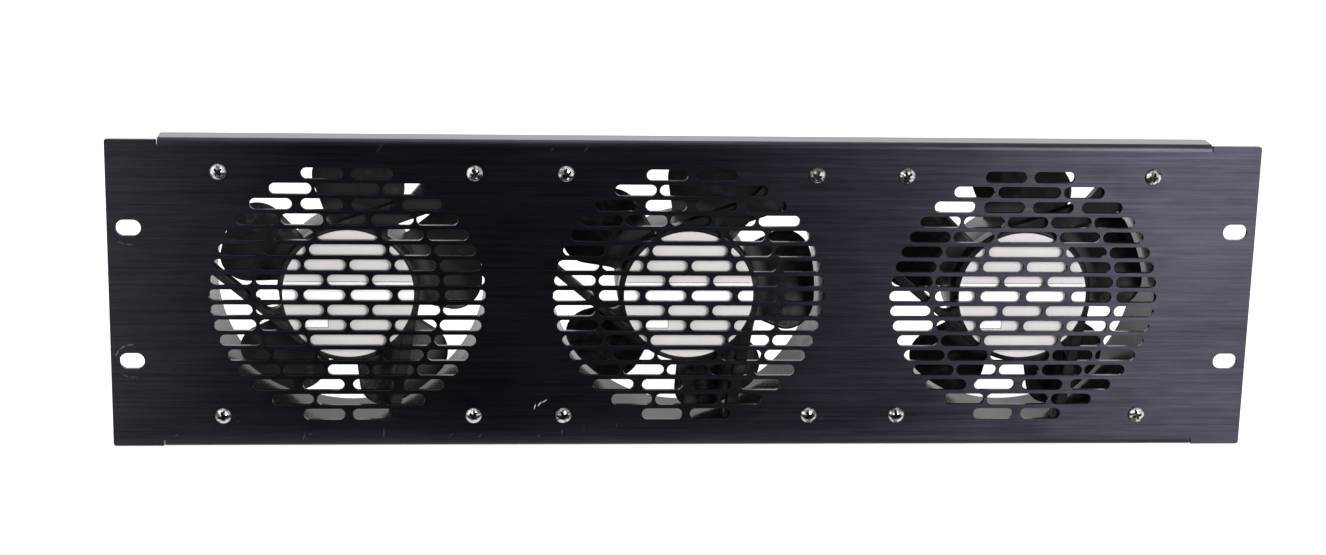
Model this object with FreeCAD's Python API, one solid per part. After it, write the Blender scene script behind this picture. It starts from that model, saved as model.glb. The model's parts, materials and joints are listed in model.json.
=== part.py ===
"""Rack fan tray: a 3U front panel in bent sheet with three slotted grilles, and a 120 mm axial fan behind each.

Millimetres. +X runs to the right along the panel, +Y points back into the rack and +Z up. The origin is the middle
of the panel on its back face, the plane that bears on the rack's rails. Each fan's axis is parallel to Y, and
"depth" below always means the Y distance behind that plane.
"""
import FreeCAD
import Part
import math
import os

from FreeCAD import Vector

# ---------------------------------------------------------------------------------------------- front panel
PANEL_LENGTH = 482.6            # 19 inch rack width over the ears
PANEL_HEIGHT = 132.6            # 3U, over the two bent flanges
PANEL_SHEET = 2.0               # sheet thickness
PANEL_BEND = 0.8                # inside bend radius
EAR_WIDTH = 21.3                # from each end to the flanges, which clear the rack's rails
FLANGE_DEPTH = 12.7             # front face to the flanges' free edges
FLANGE_CORNER = 1.5             # rounding of the free corners
EAR_STEP = 0.5                  # how far the ears' edges stand in from the flanges' outer faces
EAR_CORNER = 1.0
RELIEF_WIDTH = 0.8              # slits that part the ears from the bends

RACK_SLOT_INSET = 8.75          # from each end to the middle of the rack slots
RACK_SLOT_SPACING = 57.15       # between the two slots of one ear
RACK_SLOT_LENGTH = 10.3
RACK_SLOT_WIDTH = 6.8

# ---------------------------------------------------------------------------------------------- grilles
GRILLE_MARGIN = 0.4             # the grille's circle is this much larger than the duct behind it
ROW_PITCH = 6.5
SLOT_WIDTH = 4.8
SLOT_LENGTH = 17.3              # the punch's own length
SLOT_BRIDGE = 1.4               # metal left between a long slot and its neighbours
SHORT_BRIDGE = 0.9              # least metal left between two short slots
# Slots across each row, from the middle row outwards: s is one punch length, l takes up what its row has left.
ROW_LAYOUTS = ("ssssss", "slsls", "ssssss", "sslss", "sslss", "sssss", "ssss", "sls", "ss")

# ---------------------------------------------------------------------------------------------- fan frames
FAN_PITCH = 142.875             # between neighbouring fan axes
FAN_ROOM = 4.55                 # between a fan and the panel's flanges
FAN_CORNER = 5.5
FAN_DEPTH = 38.0
FAN_FLANGE = 5.0                # thickness of the two square flanges
FAN_HOLE_INSET = 7.25           # from a fan's sides to its mounting holes
FAN_HOLE_RADIUS = 2.25          # in the rear flange, for a guard; the front flange's fit the screws
DUCT_INSET = 2.55               # from a fan's sides to its duct
DUCT_LIP = 0.8                  # chamfer at both ends of the duct
BARREL_WALL = 1.6
BARREL_FILLET = 2.6             # sloping root between barrel and flanges

HUB_RADIUS = 29.75
HUB_FACE = 0.6                  # depth of the hub's front face
HUB_PLATE = 1.8
HUB_WALL = 2.3
HUB_REAR = 9.2
HUB_EDGE = 1.7                  # rounding round the front face
SPOKE_OVERHANG = 0.3            # how far the spokes' outer edges stand clear of the hub's rim
SPOKE_ANGLES = (140.0, 20.0, 260.0)   # the way each spoke points as it leaves the hub; the first carries the lead
SPOKE_WIDTHS = (3.6, 9.0, 4.7)
SPOKE_FLARES = (0.0, 30.0, 0.0)       # how steeply each spoke's outer edge turns out to the barrel, in degrees
SPOKE_FLARE_START = 38.0              # and how far along it does
SPOKE_REAR = 6.6
SPOKE_EDGE = 0.7
LEAD_NOTCH_RADIUS = 4.8         # round notch between the hub and the first spoke
LEAD_NOTCH_BITE = 0.9           # how far it cuts into the spoke's side
LEAD_NOTCH_DEPTH = 2.35         # and into the hub's rim
SPOKE_FILLET = 3.0              # fillet between the hub and each other spoke

LABEL_MARGIN = 0.7              # bare metal between the label and the hub's rounding
LABEL_THICKNESS = 0.2

# ---------------------------------------------------------------------------------------------- motor
SHAFT_RADIUS = 2.5
BEARING_RADIUS = 6.5            # 5 x 13 x 4 ball bearings
BEARING_WIDTH = 4.0
FRONT_BEARING_SPACE = 1.9       # from the hub's plate to the front bearing
REAR_BEARING_INSET = 0.5        # how deep the rear bearing sits in its tube
RACE_WALL = 0.95
SHIELD_THICKNESS = 0.35
SHIELD_GAP = 0.1                # running clearance between shield and inner race
TUBE_WALL = 2.0                 # bearing tube
TUBE_CLEARANCE = 0.6            # from the tube's end to the rotor's boss
TUBE_SHOULDER = 0.7             # step that each bearing is pushed against

CORE_FRONT = 12.0
CORE_THICKNESS = 14.0
CORE_RADIUS = 22.6
CORE_YOKE = 3.0                 # radial thickness of the core's ring
POLE_COUNT = 4
POLE_NECK = 7.2
SHOE_THICKNESS = 3.0
SHOE_GAP = 5.0                  # between neighbouring pole shoes
COIL_BUILD = 3.2                # thickness of a coil's winding
COIL_FIT = 0.3                  # coil to neck and to core
COIL_CORNER = 1.2
SHADING_WIRE = 1.2              # copper strip of a shading ring
SHADING_FIT = 0.05              # copper to iron
SHADING_BRIDGE = 0.8            # iron left under a shading ring's slot
SHADING_SHARE = 0.36            # share of each pole shoe that its ring takes in

AIR_GAP = 0.4
CAGE_WALL = 4.0
CAGE_OVERHANG = 0.8             # how far the cage passes the core at each end
CUP_WALL = 1.2
CUP_INSET = 0.4                 # the cup's rim stands this far back inside the impeller's ring
CUP_BOSS_RADIUS = 6.5
CUP_BOSS_LENGTH = 4.6

CLIP_WIDTH = 1.9                # how far the clip stands out of the shaft
CLIP_THICKNESS = 0.5
CLIP_GROOVE = 0.6
SPRING_THICKNESS = 0.6          # between the clip and the front bearing
SPRING_CLEARANCE = 0.15         # from the spring to the bearing's shield
SHAFT_CLEARANCE = 0.3           # from the shaft's front end to the hub's plate

# ---------------------------------------------------------------------------------------------- impeller
BLADE_COUNT = 5
IMPELLER_WALL = 1.4
IMPELLER_CLEARANCE = 0.8        # from the hub's rim to the impeller's ring
IMPELLER_INSET = 0.8            # the ring ends this far inside the fan's rear face
IMPELLER_LIP = 1.0              # rear lip over the cup's edge
IMPELLER_LIP_WIDTH = 4.5
BLADE_CLEARANCE = 1.1           # from the blades' tips to the duct
BLADE_FORWARD = 3.0             # how far the blades' middle lies in front of the ring's
BLADE_PITCH = 22.0              # depth gained per radian round the axis
BLADE_CAMBER = 1.6
BLADE_THICK_ROOT = 2.2
BLADE_THICK_TIP = 1.5
BLADE_SPAN = 51.2               # angle between a blade's two straight sides
BLADE_SPARE = 2.0               # how far the sheet that a blade is cut from goes past each side, in degrees
BLADE_CORNER = 11.5             # rounding of both outer corners, seen along the axis
REST_TURNS = (13.4, 2.2, 16.2)  # how far round each rotor stands, in degrees

# ---------------------------------------------------------------------------------------------- wiring
LEAD_RADIUS = 0.7
LEAD_CLEARANCE = 0.2
LEAD_START_ALONG = 13.4         # where it comes off the coils, along and beside the first spoke's direction
LEAD_START_OFFSET = 14.4
LEAD_INNER_BEND = 6.0
LEAD_OUTER_BEND = 4.0
BLOCK_INSET = 0.15              # the terminal block's outer face lies this far inside the fan's side
BLOCK_BOTTOM = 24.5             # its height above the fan's axis
BLOCK_HEIGHT = 6.5
BLOCK_LENGTH = 21.6
TAB_INSET = 3.75                # from the fan's side to the tabs' middle
TAB_SPACING = 8.0
TAB_REAR = 4.0                  # from the block's rear to the nearer tab's middle
TAB_WIDTH = 2.8
TAB_THICKNESS = 0.5
TAB_LENGTH = 6.6
TAB_HOLE_RADIUS = 0.6

# ---------------------------------------------------------------------------------------------- fasteners
SCREW_RADIUS = 1.75
SCREW_LENGTH = 12.7
SCREW_HEAD_RADIUS = 3.45
SCREW_HEAD_HEIGHT = 2.3
SCREW_HEAD_RIM = 0.8            # straight part of the head's side
SCREW_HOLE_RADIUS = 2.0         # in the panel and the fans' front flanges
WASHER_RADIUS = 4.6
WASHER_THICKNESS = 0.6
NUT_FLATS = 7.9
NUT_THICKNESS = 2.8
THREAD_CLEARANCE = 0.03

# ---------------------------------------------------------------------------------------------- worked out
FRONT = -PANEL_SHEET
FLANGE_REAR = FRONT + FLANGE_DEPTH
FLANGE_LENGTH = PANEL_LENGTH - 2 * EAR_WIDTH
HALF_LENGTH = PANEL_LENGTH / 2
HALF_HEIGHT = PANEL_HEIGHT / 2
BEND_LINE = HALF_HEIGHT - PANEL_SHEET - PANEL_BEND
FAN_X = (-FAN_PITCH, 0.0, FAN_PITCH)
FAN_SQUARE = PANEL_HEIGHT - 2 * (PANEL_SHEET + FAN_ROOM)
FAN_HOLE_SPACING = FAN_SQUARE - 2 * FAN_HOLE_INSET
DUCT_RADIUS = FAN_SQUARE / 2 - DUCT_INSET
GRILLE_RADIUS = DUCT_RADIUS + GRILLE_MARGIN
BARREL_RADIUS = DUCT_RADIUS + BARREL_WALL
SPOKE_OUTER = HUB_RADIUS + SPOKE_OVERHANG
LEAD_OFFSET = SPOKE_OUTER - SPOKE_WIDTHS[0] / 2
LABEL_RADIUS = HUB_RADIUS - HUB_EDGE - LABEL_MARGIN
PLATE_REAR = HUB_FACE + HUB_PLATE
IMPELLER_FRONT = HUB_REAR + IMPELLER_CLEARANCE
IMPELLER_REAR = FAN_DEPTH - IMPELLER_INSET
CUP_FRONT = IMPELLER_FRONT + CUP_INSET
CUP_REAR = IMPELLER_REAR - IMPELLER_LIP
TUBE_RADIUS = BEARING_RADIUS + TUBE_WALL
TUBE_REAR = CUP_REAR - CUP_BOSS_LENGTH - TUBE_CLEARANCE
FRONT_BEARING_DEPTH = PLATE_REAR + FRONT_BEARING_SPACE
REAR_BEARING_DEPTH = TUBE_REAR - REAR_BEARING_INSET - BEARING_WIDTH
CLIP_REAR = FRONT_BEARING_DEPTH - SPRING_THICKNESS
CLIP_FRONT = CLIP_REAR - CLIP_THICKNESS
GROOVE_RADIUS = SHAFT_RADIUS - CLIP_GROOVE
CORE_REAR = CORE_FRONT + CORE_THICKNESS
CORE_MIDDLE = (CORE_FRONT + CORE_REAR) / 2
CAGE_INNER = CORE_RADIUS + AIR_GAP
CUP_INNER = CAGE_INNER + CAGE_WALL
CUP_RADIUS = CUP_INNER + CUP_WALL
IMPELLER_RADIUS = CUP_RADIUS + IMPELLER_WALL
BLADE_TIP = DUCT_RADIUS - BLADE_CLEARANCE
BLADE_MIDDLE = (IMPELLER_FRONT + IMPELLER_REAR) / 2 - BLADE_FORWARD
LEAD_DEPTH = SPOKE_REAR + LEAD_RADIUS
BLOCK_FRONT = SPOKE_REAR - LEAD_CLEARANCE
BLOCK_REAR = BLOCK_FRONT + BLOCK_LENGTH

NODES = {}


# ---------------------------------------------------------------------------------------------- helpers
def at(x, depth, z):
    return Vector(x, depth, z)


def spun(shape, degrees):
    """A copy turned about the fan's axis, counter-clockwise seen from the front of the panel."""
    turned = shape.copy()
    turned.rotate(Vector(0, 0, 0), Vector(0, 1, 0), -degrees)
    return turned


def moved(shape, x, depth=0.0, z=0.0):
    copy = shape.copy()
    copy.translate(Vector(x, depth, z))
    return copy


def disc(radius, front, rear, x=0.0, z=0.0):
    """A round bar along Y."""
    return Part.makeCylinder(radius, rear - front, at(x, front, z), Vector(0, 1, 0))


def ring(outer, inner, front, rear):
    return disc(outer, front, rear).cut(disc(inner, front - 1, rear + 1))


def block(x0, x1, front, rear, z0, z1):
    return Part.makeBox(x1 - x0, rear - front, z1 - z0, at(x0, front, z0))


def prism(edges, front, rear):
    """A closed outline drawn in the plane of the panel, given solid depth from front to rear."""
    face = Part.Face(Part.Wire(edges))
    face.translate(Vector(0, front, 0))
    return face.extrude(Vector(0, rear - front, 0))


def outline(points):
    """Straight edges round a list of (x, z) points."""
    corners = [at(x, 0, z) for x, z in points]
    return [Part.LineSegment(a, b).toShape() for a, b in zip(corners, corners[1:] + corners[:1])]


def turned(profile):
    """A solid of revolution about the Y axis from (radius, depth) points."""
    corners = [at(r, d, 0) for r, d in profile]
    edges = [Part.LineSegment(a, b).toShape() for a, b in zip(corners, corners[1:] + corners[:1])]
    return Part.Face(Part.Wire(edges)).revolve(Vector(0, 0, 0), Vector(0, 1, 0), 360)


def obround(x, z, length, width, front, rear):
    """A slot with round ends, its length along X."""
    r = width / 2
    straight = length / 2 - r
    left, right = x - straight, x + straight
    edges = [
        Part.LineSegment(at(left, 0, z + r), at(right, 0, z + r)).toShape(),
        Part.Arc(at(right, 0, z + r), at(right + r, 0, z), at(right, 0, z - r)).toShape(),
        Part.LineSegment(at(right, 0, z - r), at(left, 0, z - r)).toShape(),
        Part.Arc(at(left, 0, z - r), at(left - r, 0, z), at(left, 0, z + r)).toShape(),
    ]
    return prism(edges, front, rear)


def edges_where(shape, test):
    return [e for e in shape.Edges if test(e)]


def fused(shapes):
    whole = shapes[0].multiFuse(shapes[1:]) if len(shapes) > 1 else shapes[0]
    return whole.removeSplitter()


def corner_places(pitch):
    half = pitch / 2
    return [(sx * half, sz * half) for sx in (-1, 1) for sz in (-1, 1)]


# ---------------------------------------------------------------------------------------------- front panel
def channel():
    """The bent sheet between the ears: the front wall and both flanges as one extruded section."""
    outer = PANEL_BEND + PANEL_SHEET
    bend = FRONT + outer
    slant = math.sqrt(0.5)
    edges = []

    def section_point(depth, z):
        return Vector(-FLANGE_LENGTH / 2, depth, z)

    def line(a, b):
        edges.append(Part.LineSegment(section_point(*a), section_point(*b)).toShape())

    def arc(a, middle, b):
        edges.append(Part.Arc(section_point(*a), section_point(*middle), section_point(*b)).toShape())

    def bend_points(side, radius):
        centre = side * (HALF_HEIGHT - outer)
        return ((bend, centre + side * radius), (bend - slant * radius, centre + side * slant * radius),
                (bend - radius, centre))

    top_outer, bottom_outer = bend_points(1, outer), bend_points(-1, outer)
    top_inner, bottom_inner = bend_points(1, PANEL_BEND), bend_points(-1, PANEL_BEND)
    inner_z = HALF_HEIGHT - PANEL_SHEET
    line((FLANGE_REAR, HALF_HEIGHT), top_outer[0])
    arc(*top_outer)
    line(top_outer[2], bottom_outer[2])
    arc(*reversed(bottom_outer))
    line(bottom_outer[0], (FLANGE_REAR, -HALF_HEIGHT))
    line((FLANGE_REAR, -HALF_HEIGHT), (FLANGE_REAR, -inner_z))
    line((FLANGE_REAR, -inner_z), bottom_inner[0])
    arc(*bottom_inner)
    line(bottom_inner[2], top_inner[2])
    arc(*reversed(top_inner))
    line(top_inner[0], (FLANGE_REAR, inner_z))
    line((FLANGE_REAR, inner_z), (FLANGE_REAR, HALF_HEIGHT))
    bent = Part.Face(Part.Wire(edges)).extrude(Vector(FLANGE_LENGTH, 0, 0))

    def free_corner(edge):
        box = edge.BoundBox
        return box.XLength < 1e-6 and box.YLength < 1e-6 and abs(box.YMax - FLANGE_REAR) < 1e-6

    return bent.makeFillet(FLANGE_CORNER, edges_where(bent, free_corner))


def ear(side):
    """One flat ear with its two rack slots, and a slit at each bend."""
    inner = side * FLANGE_LENGTH / 2
    tip = side * HALF_LENGTH
    half = HALF_HEIGHT - EAR_STEP
    plate = block(min(inner, tip), max(inner, tip), FRONT, 0, -half, half)

    def tip_corner(edge):
        box = edge.BoundBox
        return box.XLength < 1e-6 and box.ZLength < 1e-6 and abs(box.XMax - tip) < 1e-6

    plate = plate.makeFillet(EAR_CORNER, edges_where(plate, tip_corner))
    slit_end = inner + side * RELIEF_WIDTH
    slits = [block(min(inner, slit_end), max(inner, slit_end), FRONT - 1, 1, low, high)
             for low, high in ((BEND_LINE, HALF_HEIGHT), (-HALF_HEIGHT, -BEND_LINE))]
    slots = [obround(tip - side * RACK_SLOT_INSET, s * RACK_SLOT_SPACING / 2, RACK_SLOT_LENGTH, RACK_SLOT_WIDTH,
                     FRONT - 1, 1) for s in (-1, 1)]
    return plate.cut(slits + slots)


def fitting_layout(layout, width):
    """The layout less any middle slots that a row of this width has no room for."""
    def least(slots):
        bridge = SLOT_BRIDGE if "l" in slots else SHORT_BRIDGE
        return len(slots) * SLOT_LENGTH + (len(slots) - 1) * bridge

    while layout and least(layout) > width:
        middle = len(layout) // 2
        layout = layout[:middle] + layout[middle + 1:]
    return layout


def row_slots(layout, half_width):
    """(centre, length) of each slot in a row that is 2 * half_width long."""
    width = 2 * half_width
    layout = fitting_layout(layout, width)
    if len(layout) < 2:
        return [(0.0, SLOT_LENGTH)] if layout else []
    gaps = len(layout) - 1
    whole = layout.count("s") * SLOT_LENGTH
    long_count = layout.count("l")
    if long_count:
        bridge = SLOT_BRIDGE
        long_length = (width - whole - gaps * bridge) / long_count
    else:
        bridge = (width - whole) / gaps
        long_length = 0.0
    slots, x = [], -half_width
    for kind in layout:
        length = SLOT_LENGTH if kind == "s" else long_length
        slots.append((x + length / 2, length))
        x += length + bridge
    return slots


def grille_cuts(x):
    """Every slot of one grille, as cutting tools."""
    cuts = []
    for row, layout in enumerate(ROW_LAYOUTS):
        z = row * ROW_PITCH
        top = z + SLOT_WIDTH / 2
        half_width = math.sqrt(GRILLE_RADIUS ** 2 - top ** 2) if top < GRILLE_RADIUS else 0.0
        for centre, length in row_slots(layout, half_width):
            for side in ((1, -1) if row else (1,)):
                cuts.append(obround(x + centre, side * z, length, SLOT_WIDTH, FRONT - 1, 1))
    return cuts


def front_panel():
    panel = fused([channel(), ear(-1), ear(1)])
    holes = [disc(SCREW_HOLE_RADIUS, FRONT - 1, 1, x + dx, dz)
             for x in FAN_X for dx, dz in corner_places(FAN_HOLE_SPACING)]
    slots = [cut for x in FAN_X for cut in grille_cuts(x)]
    return panel.cut(Part.makeCompound(holes + slots))


# ---------------------------------------------------------------------------------------------- fan frame
def rounded_square(size, corner, front, rear):
    half = size / 2
    plate = block(-half, half, front, rear, -half, half)

    def upright(edge):
        return abs(edge.BoundBox.YLength - (rear - front)) < 1e-6

    return plate.makeFillet(corner, edges_where(plate, upright))


def spoke_frame(angle):
    """Unit vectors of a spoke seen from the front: the way it points, and square to it away from the axis."""
    a = math.radians(angle)
    along = (math.cos(a), math.sin(a))
    away = (-math.sin(a), math.cos(a))
    return along, away


def spoke_place(angle, along_distance, offset):
    along, away = spoke_frame(angle)
    return (along[0] * along_distance + away[0] * offset, along[1] * along_distance + away[1] * offset)


def reach(radius, offset):
    """How far along a line at this offset from the axis the circle of this radius lies."""
    return math.sqrt(radius ** 2 - offset ** 2)


def lead_notch_place():
    """Middle of the round notch beside the first spoke: how far along it, and how far out from the axis."""
    offset = SPOKE_OUTER - SPOKE_WIDTHS[0] - LEAD_NOTCH_RADIUS + LEAD_NOTCH_BITE
    return reach(HUB_RADIUS + LEAD_NOTCH_RADIUS - LEAD_NOTCH_DEPTH, offset), offset


def spoke(angle, width, flare, fillet):
    """A straight tangential arm from the hub's rim to the barrel, with a round fillet in its inner corner."""
    inner, far = SPOKE_OUTER - width, BARREL_RADIUS
    spread = (far - SPOKE_FLARE_START) * math.tan(math.radians(flare))
    corners = [(0, inner), (far, inner), (far, SPOKE_OUTER + spread), (SPOKE_FLARE_START, SPOKE_OUTER),
               (0, SPOKE_OUTER)]
    if not flare:
        corners.pop(3)
    arm = prism(outline([spoke_place(angle, a, o) for a, o in corners]), HUB_FACE, SPOKE_REAR)

    def face_edge(edge):
        return edge.BoundBox.YLength < 1e-6

    arm = arm.makeFillet(SPOKE_EDGE, edges_where(arm, face_edge))
    centre_offset = inner - fillet
    centre_along = reach(HUB_RADIUS + fillet, centre_offset)
    middle = inner + width / 2
    web_points = [spoke_place(angle, a, o) for a, o in ((0, middle), (centre_along, middle),
                                                        (centre_along, centre_offset), (0, centre_offset))]
    round_x, round_z = spoke_place(angle, centre_along, centre_offset)
    web = prism(outline(web_points), HUB_FACE + SPOKE_EDGE, SPOKE_REAR)
    web = web.cut(disc(fillet, HUB_FACE, SPOKE_REAR + 1, round_x, round_z))
    return fused([arm, web]).common(disc(BARREL_RADIUS - BARREL_WALL / 2, HUB_FACE, SPOKE_REAR))


def hub_body():
    """The stator's cup with its bearing tube, without the parts that are bored out of it."""
    cup = disc(HUB_RADIUS, HUB_FACE, HUB_REAR)

    def front_rim(edge):
        return edge.BoundBox.YLength < 1e-6 and abs(edge.BoundBox.YMax - HUB_FACE) < 1e-6

    cup = cup.makeFillet(HUB_EDGE, edges_where(cup, front_rim))
    cup = cup.cut(disc(HUB_RADIUS - HUB_WALL, PLATE_REAR, HUB_REAR + 1))
    return cup.fuse(disc(TUBE_RADIUS, HUB_FACE + HUB_PLATE / 2, TUBE_REAR))


def bearing_bores():
    """The stepped bore of the bearing tube."""
    front_end = FRONT_BEARING_DEPTH + BEARING_WIDTH
    return turned([(0, PLATE_REAR), (BEARING_RADIUS, PLATE_REAR), (BEARING_RADIUS, front_end),
                   (BEARING_RADIUS - TUBE_SHOULDER, front_end), (BEARING_RADIUS - TUBE_SHOULDER, REAR_BEARING_DEPTH),
                   (BEARING_RADIUS, REAR_BEARING_DEPTH), (BEARING_RADIUS, TUBE_REAR + 1), (0, TUBE_REAR + 1)])


def barrel_roots():
    """Cones that thicken the barrel where it meets each flange."""
    wide = BARREL_RADIUS + BARREL_FILLET
    roots = []
    for flange, way in ((FAN_FLANGE, 1), (FAN_DEPTH - FAN_FLANGE, -1)):
        narrow = flange + way * BARREL_FILLET
        roots.append(turned([(0, flange - way), (wide, flange - way), (wide, flange),
                             (BARREL_RADIUS, narrow), (0, narrow)]))
    return roots


def barrel():
    """The round duct wall between the two square flanges, with sloping roots under them."""
    wall = turned([(0, 0), (BARREL_RADIUS, 0), (BARREL_RADIUS, FAN_DEPTH), (0, FAN_DEPTH)])
    flanges = [rounded_square(FAN_SQUARE, FAN_CORNER, 0, FAN_FLANGE),
               rounded_square(FAN_SQUARE, FAN_CORNER, FAN_DEPTH - FAN_FLANGE, FAN_DEPTH)]
    envelope = rounded_square(FAN_SQUARE, FAN_CORNER, 0, FAN_DEPTH)
    body = fused([wall] + flanges + [root.common(envelope) for root in barrel_roots()])
    lip = DUCT_RADIUS + DUCT_LIP
    duct = turned([(0, -1), (lip, -1), (lip, 0), (DUCT_RADIUS, DUCT_LIP), (DUCT_RADIUS, FAN_DEPTH - DUCT_LIP),
                   (lip, FAN_DEPTH), (lip, FAN_DEPTH + 1), (0, FAN_DEPTH + 1)])
    holes = [disc(radius, front, rear, dx, dz) for dx, dz in corner_places(FAN_HOLE_SPACING)
             for radius, front, rear in ((SCREW_HOLE_RADIUS, -1, FAN_FLANGE + BARREL_FILLET),
                                         (FAN_HOLE_RADIUS, FAN_DEPTH - FAN_FLANGE - BARREL_FILLET, FAN_DEPTH + 1))]
    return body.cut([duct] + holes)


def lead_route(radius):
    """The lead's tube: out of the hub, along the back of the first spoke, through the barrel, up to the block."""
    angle = SPOKE_ANGLES[0]
    start = spoke_place(angle, LEAD_START_ALONG, LEAD_START_OFFSET)
    joins = spoke_place(angle, lead_notch_place()[0], LEAD_OFFSET)
    way_x = spoke_frame(angle)[0][0]
    end = (-FAN_SQUARE / 2 + BLOCK_INSET + LEAD_RADIUS + LEAD_CLEARANCE, BLOCK_BOTTOM)
    outside = spoke_place(angle, (end[0] - spoke_place(angle, 0, LEAD_OFFSET)[0]) / way_x, LEAD_OFFSET)
    points = [at(x, LEAD_DEPTH, z) for x, z in (start, joins, outside, end)]
    edges, here = [], points[0]
    for corner, following, bend in zip(points[1:-1], points[2:], (LEAD_INNER_BEND, LEAD_OUTER_BEND)):
        before = (corner - here).normalize()
        after = (following - corner).normalize()
        half_turn = before.getAngle(after) / 2
        tangent = bend * math.tan(half_turn)
        first, last = corner - before * tangent, corner + after * tangent
        inward = (after - before).normalize()
        centre = corner + inward * (bend / math.cos(half_turn))
        edges.append(Part.LineSegment(here, first).toShape())
        edges.append(Part.Arc(first, centre - inward * bend, last).toShape())
        here = last
    edges.append(Part.LineSegment(here, points[-1]).toShape())
    path = Part.Wire(edges)
    way = (points[1] - points[0]).normalize()
    section = Part.Face(Part.Wire(Part.Circle(points[0], way, radius).toShape()))
    return path.makePipe(section)


def fan_frame():
    """The die-cast frame: duct, flanges, three spokes, stator cup and bearing tube in one piece."""
    notch_x, notch_z = spoke_place(SPOKE_ANGLES[0], *lead_notch_place())
    fillets = (LEAD_NOTCH_RADIUS, SPOKE_FILLET, SPOKE_FILLET)
    spokes = [spoke(*sizes) for sizes in zip(SPOKE_ANGLES, SPOKE_WIDTHS, SPOKE_FLARES, fillets)]
    hub_bore = disc(HUB_RADIUS - HUB_WALL / 2, HUB_FACE - 1, SPOKE_REAR + 1)
    arms = [arm.cut(hub_bore) for arm in spokes]
    body = fused([barrel(), hub_body()] + arms)
    notch = disc(LEAD_NOTCH_RADIUS, HUB_FACE - 1, HUB_REAR + 1, notch_x, notch_z)
    notch = notch.cut(disc(HUB_RADIUS - HUB_WALL, HUB_FACE - 2, HUB_REAR + 2))
    lead_way = lead_route(LEAD_RADIUS + LEAD_CLEARANCE)
    return body.cut([bearing_bores(), notch, lead_way])


def label():
    return disc(LABEL_RADIUS, HUB_FACE - LABEL_THICKNESS, HUB_FACE)


# ---------------------------------------------------------------------------------------------- motor, at rest
def stator_core():
    """Laminated core with four shoed poles, pressed on the bearing tube."""
    yoke = ring(TUBE_RADIUS + CORE_YOKE, TUBE_RADIUS, CORE_FRONT, CORE_REAR)
    rim = ring(CORE_RADIUS, CORE_RADIUS - SHOE_THICKNESS, CORE_FRONT, CORE_REAR)
    half_gap, half_neck = SHOE_GAP / 2, POLE_NECK / 2
    step = 360.0 / POLE_COUNT
    gap = block(0, CORE_RADIUS + 1, CORE_FRONT - 1, CORE_REAR + 1, -half_gap, half_gap)
    neck = block(TUBE_RADIUS + CORE_YOKE / 2, CORE_RADIUS - SHOE_THICKNESS + SHADING_BRIDGE / 2,
                 CORE_FRONT, CORE_REAR, -half_neck, half_neck)
    slot_angle = shading_slot_angle()
    half_slot = SHADING_WIRE / 2 + SHADING_FIT
    slot = block(CORE_RADIUS - SHOE_THICKNESS + SHADING_BRIDGE, CORE_RADIUS + 1, CORE_FRONT - 1, CORE_REAR + 1,
                 -half_slot, half_slot)
    shoes = rim.cut([spun(gap, (i + 0.5) * step) for i in range(POLE_COUNT)]
                    + [spun(slot, i * step + slot_angle) for i in range(POLE_COUNT)])
    return fused([yoke, shoes] + [spun(neck, i * step) for i in range(POLE_COUNT)])


def shading_slot_angle():
    """Angle from a pole's middle to the slot that its shading ring sits in."""
    half_shoe = 180.0 / POLE_COUNT - math.degrees(SHOE_GAP / 2 / CORE_RADIUS)
    return half_shoe * (1 - 2 * SHADING_SHARE)


def shading_rings():
    """A closed copper loop round one tip of each pole shoe."""
    slot_angle = shading_slot_angle()
    step = 360.0 / POLE_COUNT
    wire = SHADING_WIRE
    inner = CORE_RADIUS - SHOE_THICKNESS + SHADING_BRIDGE + 2 * SHADING_FIT
    outer = CORE_RADIUS - SHADING_FIT
    leg = block(inner, outer, CORE_FRONT - wire, CORE_REAR + wire, -wire / 2, wire / 2)
    beside = SHADING_FIT + wire / 2 - SHOE_GAP / 2
    far_leg = spun(moved(leg, 0, 0, beside), step / 2)
    far_angle = step / 2 + math.degrees(math.asin(beside / outer))
    arc_slice = sector(inner, outer, slot_angle, far_angle)
    ends = [moved(arc_slice, 0, CORE_FRONT - wire), moved(arc_slice, 0, CORE_REAR)]
    loop = fused([spun(leg, slot_angle), far_leg] + ends)
    loop = loop.common(disc(outer, CORE_FRONT - wire, CORE_REAR + wire))
    return [spun(loop, i * step) for i in range(POLE_COUNT)]


def sector(inner, outer, start, end):
    """A flat arc-shaped strip, one shading wire thick, between two angles."""
    whole = ring(outer, inner, 0, SHADING_WIRE)
    far = outer * 2
    a, b = math.radians(start), math.radians(end)
    wedge = prism(outline([(0, 0), (far * math.cos(a), far * math.sin(a)), (far * math.cos(b), far * math.sin(b))]),
                  -1, SHADING_WIRE + 1)
    return whole.common(wedge)


def coils():
    """One wound coil round each pole's neck."""
    half_z = POLE_NECK / 2 + COIL_FIT
    inner_x = TUBE_RADIUS + CORE_YOKE + COIL_FIT
    outer_x = reach(CORE_RADIUS - SHOE_THICKNESS - COIL_FIT, half_z + COIL_BUILD)
    half_y = CORE_THICKNESS / 2 + COIL_FIT

    def rounded_loop(grow):
        box = block(inner_x, outer_x, CORE_MIDDLE - half_y - grow, CORE_MIDDLE + half_y + grow,
                    -half_z - grow, half_z + grow)

        def lengthwise(edge):
            return abs(edge.BoundBox.XLength - (outer_x - inner_x)) < 1e-6

        return box.makeFillet(COIL_CORNER, edges_where(box, lengthwise)) if grow else box

    coil = rounded_loop(COIL_BUILD).cut(rounded_loop(0))
    return [spun(coil, i * 360.0 / POLE_COUNT) for i in range(POLE_COUNT)]


def bearing_places():
    return (FRONT_BEARING_DEPTH, REAR_BEARING_DEPTH)


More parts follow.
